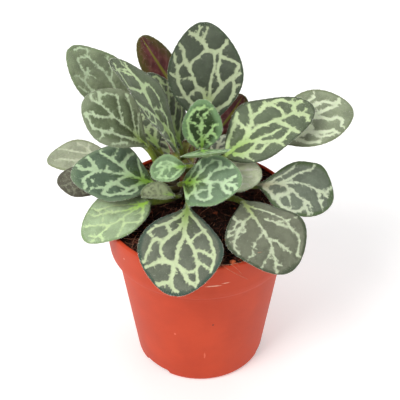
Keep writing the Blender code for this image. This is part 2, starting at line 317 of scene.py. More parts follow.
# %% [markdown]
# ## The pot
# Its sizes repeat those of the plain pot, so the two agree. The finer piece has a rounder lip
# and a fillet under the collar, which the plain one leaves out.

# %% The pot
RIM_RADIUS = 45.0
POT_HEIGHT = 84.0
COLLAR_EDGE_RADIUS = 42.6
COLLAR_EDGE_HEIGHT = 64.2
BODY_TOP_RADIUS = 39.6
BODY_TOP_HEIGHT = 62.6
BASE_RADIUS = 30.9
BASE_CORNER = 2.4
WALL = 1.2
LIP = 0.8
FLOOR = 1.6


def body_radius(height):
    """Outer radius of the pot's body below its collar."""
    return BASE_RADIUS + (BODY_TOP_RADIUS - BASE_RADIUS) * height / BODY_TOP_HEIGHT


def collar_radius(height):
    """Outer radius of the pot's collar."""
    share = (height - COLLAR_EDGE_HEIGHT) / (POT_HEIGHT - COLLAR_EDGE_HEIGHT)
    return COLLAR_EDGE_RADIUS + (RIM_RADIUS - COLLAR_EDGE_RADIUS) * share


def arc(centre, radius, start, end, steps):
    """Points on an arc of a profile; angles in degrees from straight outwards."""
    points = []
    for step in range(steps + 1):
        angle = math.radians(start + (end - start) * step / steps)
        points.append((centre[0] + radius * math.cos(angle),
                       centre[1] + radius * math.sin(angle)))
    return points


def inner_profile():
    """The pot's inner wall below its lip, from the collar down to the floor."""
    return [(collar_radius(COLLAR_EDGE_HEIGHT) - WALL, COLLAR_EDGE_HEIGHT + WALL),
            (body_radius(BODY_TOP_HEIGHT) - WALL, BODY_TOP_HEIGHT + 0.5 * WALL),
            (body_radius(BASE_CORNER + FLOOR) - WALL, BASE_CORNER + FLOOR),
            (body_radius(FLOOR) - WALL - BASE_CORNER, FLOOR)]


def pot_profile():
    """Half of the pot's section, from the middle of its underside round to the floor inside."""
    corner = (body_radius(BASE_CORNER) - BASE_CORNER, BASE_CORNER)
    outer = [(0, 0), (10, 0), (20, 0)]
    outer += arc(corner, BASE_CORNER, -90, -4, 6)
    outer += [(body_radius(height), height) for height in (8, 20, 34, 48, 58)]
    outer += [(BODY_TOP_RADIUS - 0.15, BODY_TOP_HEIGHT - 1.0), (BODY_TOP_RADIUS + 0.25, BODY_TOP_HEIGHT)]
    outer += [(COLLAR_EDGE_RADIUS - 0.7, COLLAR_EDGE_HEIGHT - 0.55)]
    outer += [(COLLAR_EDGE_RADIUS - 0.2, COLLAR_EDGE_HEIGHT - 0.25)]
    outer += [(collar_radius(height), height) for height in (64.5, 68, 73, 78)]
    outer += arc((RIM_RADIUS - 1.0, POT_HEIGHT - 1.0), 1.0, 0, 150, 7)
    lip_foot = POT_HEIGHT - 2.5 * LIP
    return outer + [(collar_radius(lip_foot) - WALL, lip_foot)] + inner_profile() + [(0, FLOOR)]


pot = turn("moulded_pot", pot_profile(), 128)
smooth(pot, 38)
dress(pot, orange_plastic, "orange_plastic", "pot")

# %% [markdown]
# ## Cutting the water notches
# Three notches in the foot let water out. A cube the size of a notch is taken out of the pot
# with a Boolean modifier, once for each notch. The cube's edges are bevelled first, because a
# moulded notch has round corners.

# %% The notches
NOTCH_ANGLES = (107, 227, 347)
NOTCH_SIZE = (8.0, 15.5, 6.2)


def cut_away(piece, cutter):
    """Take a cutter's shape out of a piece, and remove the cutter."""
    cut = piece.modifiers.new("cut", "BOOLEAN")
    cut.operation = "DIFFERENCE"
    cut.object = cutter
    deselect()
    bpy.context.view_layer.objects.active = piece
    bpy.ops.object.modifier_apply(modifier=cut.name)
    bpy.data.objects.remove(cutter, do_unlink=True)


for angle in NOTCH_ANGLES:
    turned = math.radians(angle)
    deselect()
    bpy.ops.mesh.primitive_cube_add(
        size=1, location=(math.cos(turned) * BASE_RADIUS * MM, math.sin(turned) * BASE_RADIUS * MM, 0),
        rotation=(0, 0, turned), scale=Vector(NOTCH_SIZE) * MM)
    bpy.ops.object.transform_apply(location=False, rotation=False, scale=True)
    bpy.ops.object.mode_set(mode="EDIT")
    bpy.ops.mesh.bevel(offset=1.6 * MM, segments=4)
    bpy.ops.object.mode_set(mode="OBJECT")
    cut_away(pot, bpy.context.object)
print("pot faces after the notches:", len(pot.data.polygons))

# %% [markdown]
# ## The potting mix
# The mix is dark, moist peat. Its body is turned like the pot, just inside the pot's wall. Its
# top starts as flat rings, and noise of three sizes then lifts them into clods and grains. A
# Boolean cut leaves room for the crown, as the plain model does.

# %% The potting mix
GAP = 0.3
SOIL_EDGE_HEIGHT = 80.6
SOIL_RISE = 1.6
SOIL_BANK = 2.1
SOIL_RINGS = 44
SOIL_EDGE = collar_radius(SOIL_EDGE_HEIGHT) - WALL - GAP
CROWN_X = -5.0
CROWN_Y = 11.0
CROWN_FOOT = 72.0
CROWN_RADIUS = 5.2


def soil_height(x, y):
    """Height of the mix's lumpy top at one place."""
    share = min(1.0, math.hypot(x, y) / SOIL_EDGE)
    lumps = sum(size * noise.noise(Vector((x, y, 0)) * fineness)
                for size, fineness in ((0.9, 0.16), (0.7, 0.42), (0.5, 1.1)))
    return SOIL_EDGE_HEIGHT + SOIL_RISE * (1 - share ** 2) + SOIL_BANK * share ** 9 + lumps


def make_soil_skin():
    material, tree, shader = new_material("potting_mix_peat", 0.95)
    place = object_place(tree)
    clods = noise_node(tree, place, 420, 6, 0.7)
    colour = mix_node(tree, step_node(tree, clods, 0.35, 0.7), (0.009, 0.005, 0.004),
                      (0.060, 0.022, 0.013))
    chips = step_node(tree, noise_node(tree, place, 1300, 2), 0.66, 0.74)
    colour = mix_node(tree, math_node(tree, "MULTIPLY", chips, 0.6), colour, (0.17, 0.055, 0.03))
    tree.links.new(colour, shader.inputs["Base Color"])
    grain = noise_node(tree, place, 1900, 4, 0.7)
    add_bump(tree, shader, math_node(tree, "ADD", clods, grain), 0.8, 0.0006)
    shader.inputs["Specular IOR Level"].default_value = 0.15
    return material


rings = [(SOIL_EDGE * ring / SOIL_RINGS, SOIL_EDGE_HEIGHT) for ring in range(SOIL_RINGS + 1)]
walls = [(radius - GAP, height + GAP) for radius, height in inner_profile()]
soil = turn("potting_mix_bed", rings + walls + [(0, FLOOR + GAP)], 144)
for vertex in soil.data.vertices:
    x, y, z = vertex.co / MM
    if abs(z - SOIL_EDGE_HEIGHT) < 0.01:
        vertex.co.z = soil_height(x, y) * MM


deselect()
bpy.ops.mesh.primitive_cylinder_add(
    vertices=32, radius=(CROWN_RADIUS + GAP) * MM, depth=24 * MM,
    location=(CROWN_X * MM, CROWN_Y * MM, (CROWN_FOOT - GAP + 12) * MM))
cut_away(soil, bpy.context.object)
smooth(soil, 70)
soil_skin = make_soil_skin()
dress(soil, soil_skin, "dark_soil", "soil")

# %% [markdown]
# ## Crumbs
# Loose crumbs lie on the mix. One small icosphere is the start of them all. It is copied, and
# each copy is squashed, turned and dented by its own draw, so no crumb looks like a ball. A tint
# goes with each copy as an attribute, because peat is black and bark is red brown.

# %% Crumbs
CRUMBS = 2200
CHIPS = ((14.2, -40.6, 1.5), (17.5, -38.6, 1.1), (-16.5, -38.2, 1.2), (34.5, -22.5, 1.3))
SPILL = 70


def scatter(draw, inner=0.0):
    """A random place on the mix, clear of the crown."""
    while True:
        radius = SOIL_EDGE * math.sqrt(draw.uniform(inner ** 2, 0.97))
        angle = draw.uniform(0, math.tau)
        x, y = radius * math.cos(angle), radius * math.sin(angle)
        if math.hypot(x - CROWN_X, y - CROWN_Y) > CROWN_RADIUS + 2:
            return x, y


def add_tints(piece, tints, each):
    """Store one tint for every copy, each of which has the same number of points."""
    layer = piece.data.attributes.new("tint", "FLOAT", "POINT")
    layer.data.foreach_set("value", np.repeat(tints, each))


def make_crumbs():
    deselect()
    bpy.ops.mesh.primitive_ico_sphere_add(subdivisions=1, radius=1)
    ball = bpy.context.object
    corners = np.array([vertex.co[:] for vertex in ball.data.vertices])
    faces = np.array([face.vertices[:] for face in ball.data.polygons])
    bpy.data.objects.remove(ball, do_unlink=True)
    draw = random.Random(7)
    spots = [(*scatter(draw), 0.28 + 1.1 * draw.random() ** 3) for _ in range(CRUMBS)] + list(CHIPS)
    for _ in range(SPILL):
        angle, radius = math.radians(draw.uniform(-84, -52)), draw.uniform(41.8, 44.4)
        spots.append((radius * math.cos(angle), radius * math.sin(angle), draw.uniform(0.25, 0.7)))
    points, tints = [], []
    for x, y, size in spots:
        chip = (x, y, size) in CHIPS
        dents = np.array([draw.uniform(0.65, 1.25) for _ in corners])
        shape = corners * dents[:, None] * (size, size * draw.uniform(0.5, 0.9), size * 0.55)
        angle = draw.uniform(0, math.tau)
        turned = np.array(((math.cos(angle), -math.sin(angle), 0),
                           (math.sin(angle), math.cos(angle), 0), (0, 0, 1)))
        lift = soil_height(x, y) + (1.2 if chip else 0.15 * size)
        if math.hypot(x, y) > SOIL_EDGE - 0.4:
            lift = POT_HEIGHT + 0.3 * size
        points.append(shape @ turned.T + (x, y, lift))
        tints.append(1.0 if chip else draw.random() ** 2 * 0.8)
    mesh = bpy.data.meshes.new("potting_mix_crumbs")
    steps = np.arange(len(spots))[:, None, None] * len(corners)
    mesh.from_pydata((np.concatenate(points) * MM).tolist(), [],
                     (faces[None] + steps).reshape(-1, 3).tolist())
    crumbs = bpy.data.objects.new("potting_mix_crumbs", mesh)
    bpy.context.collection.objects.link(crumbs)
    add_tints(crumbs, tints, len(corners))
    return crumbs


def make_tinted_skin(name, dark, middle, bright, roughness):
    """A fibrous material whose colour runs with each copy's tint."""
    material, tree, shader = new_material(name, roughness)
    tint = add_node(tree, "ShaderNodeAttribute", attribute_name="tint").outputs["Fac"]
    colour = mix_node(tree, step_node(tree, tint, 0.0, 0.5), dark, middle)
    colour = mix_node(tree, step_node(tree, tint, 0.5, 1.0), colour, bright)
    grain = noise_node(tree, object_place(tree), 2500, 3, 0.6)
    colour = mix_node(tree, step_node(tree, grain, 0.4, 0.7), colour, darker(dark, 0.7))
    tree.links.new(colour, shader.inputs["Base Color"])
    add_bump(tree, shader, grain, 0.5, 0.0003)
    shader.inputs["Specular IOR Level"].default_value = 0.2
    return material


crumb_skin = make_tinted_skin("potting_mix_crumb", (0.010, 0.006, 0.005), (0.09, 0.032, 0.020),
                              (0.60, 0.13, 0.045), 0.9)
dress(make_crumbs(), crumb_skin, "dark_soil")

# %% [markdown]
# ## Coir fibres
# Coconut fibre is mixed into the peat. It lies in a loose red-brown tangle, thickest at the
# wall, and a few fibres stand up or hang over the rim. Each fibre is one spline of a single
# curve with a round bevel. The curve is then made a mesh, which the export needs.

# %% Coir fibres
FIBRES = 1150
RIM_FIBRES = (
    ((9.5, -42.4, 84.4), (12.0, -46.4, 84.6), (16.0, -43.0, 79.5), (21.0, -39.0, 73.0)),
    ((13.0, -42.0, 84.4), (15.5, -44.2, 84.6), (17.0, -42.6, 81.0), (18.4, -41.6, 78.0)),
    ((6.0, -41.5, 84.6), (9.0, -44.0, 84.9), (13.0, -43.6, 85.1), (19.0, -40.8, 84.8)),
    ((22.5, -35.0, 84.0), (24.5, -37.2, 86.5), (25.0, -38.6, 88.0), (27.0, -38.8, 88.6)),
    ((13.5, -39.5, 83.5), (15.0, -41.5, 85.0), (16.0, -42.7, 84.8), (17.2, -43.3, 84.0)),
    ((-20.0, -36.0, 83.8), (-18.5, -39.0, 85.0), (-16.5, -41.4, 85.2), (-15.0, -42.6, 84.5)),
    ((38.0, -16.0, 83.5), (40.0, -18.0, 85.2), (41.0, -19.3, 85.0), (41.4, -20.6, 84.4)),
)
FIBRE_POINTS = 8


def bezier(points, share):
    """Place and direction on a Bezier curve, by repeated halving of its control lines."""
    points = list(points)
    while len(points) > 2:
        points = [a.lerp(b, share) for a, b in zip(points, points[1:])]
    return points[0].lerp(points[1], share), (points[1] - points[0]).normalized()


def loose_fibre(draw):
    """Four control points of a fibre that lies on the mix."""
    x, y = scatter(draw, 0.8 if draw.random() < 0.5 else 0.0)
    heading = draw.uniform(0, math.tau)
    length = draw.uniform(2.5, 9)
    standing = draw.random() < 0.15
    controls = []
    for step in range(4):
        heading += draw.uniform(-0.9, 0.9)
        radius = max(1.0, math.hypot(x, y) / (SOIL_EDGE - 0.3))
        x, y = x / radius, y / radius
        rise = (0.2 + draw.uniform(0, 0.7)) * (1 if 0 < step < 3 else 0.1)
        rise += 0.9 * step if standing else 0
        controls.append((x, y, soil_height(x, y) + rise))
        x += length / 3 * math.cos(heading)
        y += length / 3 * math.sin(heading)
    return controls


def make_fibres():
    draw = random.Random(11)
    curve = bpy.data.curves.new("coir_fibres", "CURVE")
    curve.dimensions = "3D"
    curve.bevel_depth = 0.1 * MM
    curve.bevel_resolution = 0
    curve.use_fill_caps = True
    routes = [loose_fibre(draw) for _ in range(FIBRES)] + list(RIM_FIBRES)
    for route in routes:
        spline = curve.splines.new("POLY")
        spline.points.add(FIBRE_POINTS - 1)
        thickness = draw.uniform(0.6, 1.4)
        for number, point in enumerate(spline.points):
            place, _ = bezier([Vector(control) for control in route], number / (FIBRE_POINTS - 1))
            point.co = (*(place * MM), 1)
            point.radius = thickness * (1 - 0.5 * number / FIBRE_POINTS)
    fibres = bpy.data.objects.new("coir_fibres", curve)
    bpy.context.collection.objects.link(fibres)
    deselect()
    bpy.context.view_layer.objects.active = fibres
    fibres.select_set(True)
    bpy.ops.object.convert(target="MESH")
    tints = [draw.random() for _ in range(FIBRES)] + [1.0] * len(RIM_FIBRES)
    add_tints(fibres, tints, len(fibres.data.vertices) // len(routes))
    return fibres


coir_skin = make_tinted_skin("coir_fibre", (0.09, 0.025, 0.016), (0.27, 0.080, 0.045),
                             (0.66, 0.34, 0.20), 0.7)
dress(make_fibres(), coir_skin, "dark_soil")

# %% [markdown]
# ## The crown
# All the stalks grow from a short, thick stem. It is ringed with the scars of older leaves, and
# brown skin clings to it. It is turned from a wavy profile, and noise then makes it uneven.

# %% The crown
CROWN_SHOULDER = 88.0
CROWN_NECK = 99.5
CROWN_TOP = 102.0
CROWN_NECK_RADIUS = 4.0
SCAR_STEP = 1.7


def crown_radius(height):
    """Radius of the crown at a height."""
    if height <= CROWN_SHOULDER:
        return CROWN_RADIUS
    share = (height - CROWN_SHOULDER) / (CROWN_NECK - CROWN_SHOULDER)
    return CROWN_RADIUS + (CROWN_NECK_RADIUS - CROWN_RADIUS) * share


def crown_profile():
    """Half of the crown's section: a ringed side and a blunt top."""
    points = [(0, CROWN_FOOT)]
    steps = 70
    for step in range(steps + 1):
        height = CROWN_FOOT + (CROWN_NECK - CROWN_FOOT) * step / steps
        ring = 0.22 * abs(math.sin(math.pi * height / SCAR_STEP))
        points.append((crown_radius(height) - ring, height))
    dome = CROWN_TOP - CROWN_NECK
    for step in range(1, 7):
        angle = math.radians(15 * step)
        points.append((CROWN_NECK_RADIUS * math.cos(angle), CROWN_NECK + dome * math.sin(angle)))
    return points


def make_crown_skin():
    material, tree, shader = new_material("crown_stem_flesh", 0.6)
    place = object_place(tree)
    patches = noise_node(tree, place, 260, 4, 0.6)
    colour = mix_node(tree, step_node(tree, patches, 0.38, 0.62), (0.10, 0.12, 0.015),
                      (0.13, 0.035, 0.018))
    fibres = noise_node(tree, place, 1400, 3, 0.7)
    colour = mix_node(tree, step_node(tree, fibres, 0.55, 0.75), colour, (0.24, 0.20, 0.07))
    tree.links.new(colour, shader.inputs["Base Color"])
    add_bump(tree, shader, fibres, 0.5, 0.0004)
    return material


crown = turn("crown_stem", crown_profile(), 48, (CROWN_X, CROWN_Y))
for vertex in crown.data.vertices:
    dent = 0.25 * noise.noise(vertex.co / MM * 0.6) - 0.1
    away = Vector((vertex.co.x - CROWN_X * MM, vertex.co.y - CROWN_Y * MM, 0))
    if vertex.co.z > CROWN_FOOT * MM and away.length > 1e-5:
        vertex.co += away.normalized() * dent * MM
smooth(crown, 60)
dress(crown, make_crown_skin(), "crown_green", "crown")

# %% [markdown]
# ## The leaves' plan
# The plain model grew each leaf from a short list: where its stalk leaves the crown, where its
# blade starts and ends, which way its upper face looks, and how it is shaped. The same list is
# used here, so that the fine leaves lie where the plain ones do. Four tiny buds in the heart are
# added to it, which are too small for the plain model. A real blade is also a little broader on
# one side, so a second list gives swellings: the side, where along the blade, how far they
# reach, and by how much they widen it.

# %% The leaves' plan
Leaf = namedtuple("Leaf", "name root base tip facing width bow widest foot fold wave stalk")
LEAVES = (
    Leaf("leaf_back_tall", (52, 95), (3.5, 15.6, 116.5), (1.5, 34, 161), (0, -0.9, 0.45),
         34, 2, 1.05, 1.0, 6, 0.9, 3.0),
    Leaf("leaf_back_purple", (95, 91.5), (-5.5, 32, 117), (-26.5, 34, 153.5), (-0.3, 0.8, -0.3),
         16, 2, 1.2, 1.0, 8, 0.4, 2.6),
    Leaf("leaf_back_hidden", (60, 91.5), (7, 25, 106), (20.5, 36, 121.5), (0.2, 0.6, -0.7),
         15, 2, 1.1, 1.0, 6, 0.4, 2.4),
    Leaf("leaf_left_far", (150, 93.5), (-35, 26, 117), (-59, 33, 148.5), (0.3, -0.7, 0.6),
         21, 2, 1.1, 1.0, 6, 0.5, 2.8),
    Leaf("leaf_left_folded", (208, 97), (-11, 2, 112.5), (-39, 8, 156), (0.88, -0.1, 0.5),
         28, 3, 1.0, 1.0, 12, 0.8, 3.0),
    Leaf("leaf_left_shadowed", (118, 95.5), (-9, 15, 106), (-24.5, 24, 140), (0.6, -0.4, 0.65),
         23, 2, 1.0, 0.9, 6, 0.5, 2.6),
    Leaf("leaf_left_round", (190, 92), (-24, 3, 115), (-51, 8, 137), (0.1, -0.5, 0.85),
         27, 3, 1.25, 0.9, 5, 0.5, 3.0),
    Leaf("leaf_left_pale", (165, 87), (-40.5, 24, 93), (-73.5, 30, 89), (0, -0.35, 0.94),
         18, 3, 1.1, 1.0, 4, 0.5, 2.8),
    Leaf("leaf_left_broad", (205, 88), (-22, 2, 95), (-58.5, 0, 102), (0, -0.35, 0.94),
         29, 3, 1.0, 0.8, 6, 0.8, 3.0),
    Leaf("leaf_left_low", (186, 84.5), (-44, 5, 89), (-66, 8, 93.5), (0, -0.3, 0.95),
         18, 2, 1.1, 1.0, 4, 0.4, 2.6),
    Leaf("leaf_front_left", (228, 85.5), (-23.5, -6, 90), (-52.5, -21, 81), (-0.1, -0.3, 0.95),
         25, 4, 0.95, 0.6, 4, 0.4, 3.0),
    Leaf("leaf_front_broad", (270, 87), (-5.5, -12, 92.5), (-11, -56, 78.5), (0, -0.6, 0.8),
         37, 6, 1.25, 1.0, 3, 1.0, 3.2),
    Leaf("leaf_front_right", (312, 87), (19.5, -10, 93), (39, -42, 79.5), (0.2, -0.6, 0.75),
         35, 5, 1.05, 0.8, 3, 0.8, 3.0),
    Leaf("leaf_right", (345, 84.5), (26.5, 0, 95.5), (61, -3, 90.5), (0, -0.45, 0.9),
         28, 3, 1.25, 0.9, 5, 0.6, 3.0),
    Leaf("leaf_right_broad", (350, 94), (12, 4, 109), (51.5, 20, 125.5), (-0.1, -0.6, 0.8),
         28, 3, 0.9, 0.7, 6, 0.8, 3.0),
    Leaf("leaf_right_far", (15, 90), (30, 18, 108), (71, 30, 118), (0, -0.5, 0.85),
         27, 3, 1.15, 1.0, 5, 0.6, 2.8),
    Leaf("young_leaf_upright", (30, 98.5), (1, 5.8, 111.1), (1, 9.6, 135.8), (0, -0.9, 0.4),
         18, 1, 0.95, 0.9, 8, 0.4, 2.2),
    Leaf("young_leaf_front", (320, 98), (1, -2.3, 116.5), (3.5, -16, 124), (-0.12, 0.5, 0.86),
         22, -1, 1.0, 0.9, 4, 0.3, 2.2),
    Leaf("leaf_centre", (262, 94), (-7, -7.8, 102.6), (18.5, -14.6, 109), (-0.1, -0.5, 0.85),
         25, 2, 0.85, 0.6, 1, 0.4, 2.6),
    Leaf("leaf_centre_pale", (325, 90.5), (7, 2, 98), (28, 0, 102), (0, -0.5, 0.85),
         18, 2, 1.1, 0.9, 5, 0.4, 2.4),
    Leaf("young_leaf_left", (233, 99), (-6.5, -10.6, 113.7), (-21.5, -13.6, 111.7),
         (-0.1, -0.5, 0.85), 13, 1, 1.0, 0.8, 16, 0.3, 1.7),
    Leaf("young_leaf_curled", (245, 90.5), (-12, -5, 93), (-26.5, -8, 95.7), (0, -0.3, 0.95),
         10, 1, 1.0, 0.8, 35, 0.3, 1.8),
    Leaf("leaf_rear_low_left", (112, 85), (-13, 25, 91), (-21, 57, 87), (0, 0.1, 1),
         28, 5, 1.1, 0.9, 4, 0.6, 3.0),
    Leaf("leaf_rear_low_right", (75, 85.5), (6, 24, 92), (16, 57, 88), (0, 0.1, 1),
         28, 5, 1.1, 0.9, 4, 0.6, 3.0),
    Leaf("leaf_rear_right", (42, 88), (16, 24, 98), (41, 48, 101), (0, 0, 1),
         27, 5, 1.1, 0.9, 4, 0.6, 2.8),
    Leaf("leaf_rear_left", (135, 90), (-20, 26, 98), (-40, 50, 103), (0, 0, 1),
         26, 4, 1.1, 0.9, 4, 0.6, 2.8),
)
BUDS = (
    Leaf("bud_back", (118, 98.2), (-6.6, 15.9, 101.8), (-5.4, 17.6, 108.8), (0, -0.9, 0.4),
         7.5, 0.8, 1.0, 0.9, 28, 0.1, 1.5),
    Leaf("bud_right", (66, 97.8), (-2.4, 15.2, 101), (-2.0, 16.8, 107.5), (0, -0.9, 0.4),
         6.5, 0.8, 1.0, 0.9, 24, 0.1, 1.5),
    Leaf("bud_left", (176, 98.4), (-11.4, 10.6, 103.4), (-13.4, 11.2, 106.6), (0.5, -0.6, 0.5),
         4.6, 0.6, 1.0, 0.9, 30, 0.1, 1.5),
    Leaf("bud_front", (288, 99), (-3.6, 5.2, 105.2), (-2.2, 4.0, 109.4), (-0.3, -0.7, 0.5),
         4.2, 0.6, 1.0, 0.9, 32, 0.1, 1.5),
)
OUTLINES = {
    "leaf_front_right": ((1, 0.35, 0.3, 0.13), (-1, 0.28, 0.22, -0.24)),
    "leaf_right_broad": ((1, 0.62, 0.4, -0.18), (-1, 0.32, 0.2, 0.2)),
    "leaf_right_far": ((-1, 0.75, 0.3, 0.15),),
    "leaf_right": ((1, 0.18, 0.18, 0.35), (-1, 0.84, 0.16, 0.26)),
    "leaf_centre": ((1, 0.06, 0.14, 0.42), (-1, 0.1, 0.15, -0.2)),
    "leaf_left_broad": ((1, 0.25, 0.2, 0.28),),
    "leaf_left_far": ((1, 0.36, 0.35, 0.42), (1, 0.16, 0.14, 0.5)),
}
ROOT_GAP = 0.45
STEEP_ABOVE = 91.0
STEEPER_BY = 7.0
TIP_HALF_WIDTH = 0.9
TIP_POWER = 0.6
RIB_DEPTH = 0.9


def square_to(direction, wish):
    """The unit vector nearest to a wished one that is square to a direction."""
    return (wish - direction * wish.dot(direction)).normalized()


def leaf_curves(leaf):
    """The two curves of a leaf's middle line: along its stalk and along its blade."""
    base = Vector(leaf.base)
    tip = Vector(leaf.tip)
    chord = (tip - base).normalized()
    middle = (base + tip) / 2 + square_to(chord, Vector(leaf.facing)) * 2 * leaf.bow
    angle = math.radians(leaf.root[0])
    outwards = Vector((math.cos(angle), math.sin(angle), 0))
    rise = math.radians(STEEPER_BY * max(0, leaf.root[1] - STEEP_ABOVE))
    clear = ROOT_GAP + 0.42 * leaf.stalk * math.sin(rise)
    root = Vector((CROWN_X, CROWN_Y, leaf.root[1]))
    root += outwards * (crown_radius(leaf.root[1]) + clear)
    leaving = outwards * math.cos(rise) + Vector((0, 0, math.sin(rise)))
    reach = 0.4 * (base - root).length
    start = (middle - base).normalized()
    stalk_line = (root, root + leaving * reach, base - start * reach, base)
    return stalk_line, (base, middle, tip)


def half_width(leaf, share):
    """Half the blade's width: a wedge at its base that swells and rounds off at the tip."""
    power = leaf.foot + (TIP_POWER - leaf.foot) * share
    swell = math.sin(math.pi * min(share, 0.999) ** leaf.widest) ** power
    stalk = 0.5 * leaf.stalk * (1 - share) ** 2
    return math.hypot(0.5 * leaf.width * swell, stalk) + TIP_HALF_WIDTH * share ** 4


def uneven(leaf, share, side):
    """How much wider or narrower one side of a blade is than the even outline."""
    change = sum(amount * math.exp(-((share - middle) / spread) ** 2)
                 for where, middle, spread, amount in OUTLINES.get(leaf.name, ()) if where == side)
    return 1 + change * min(1, 15 * share)


print("leaves:", len(LEAVES))
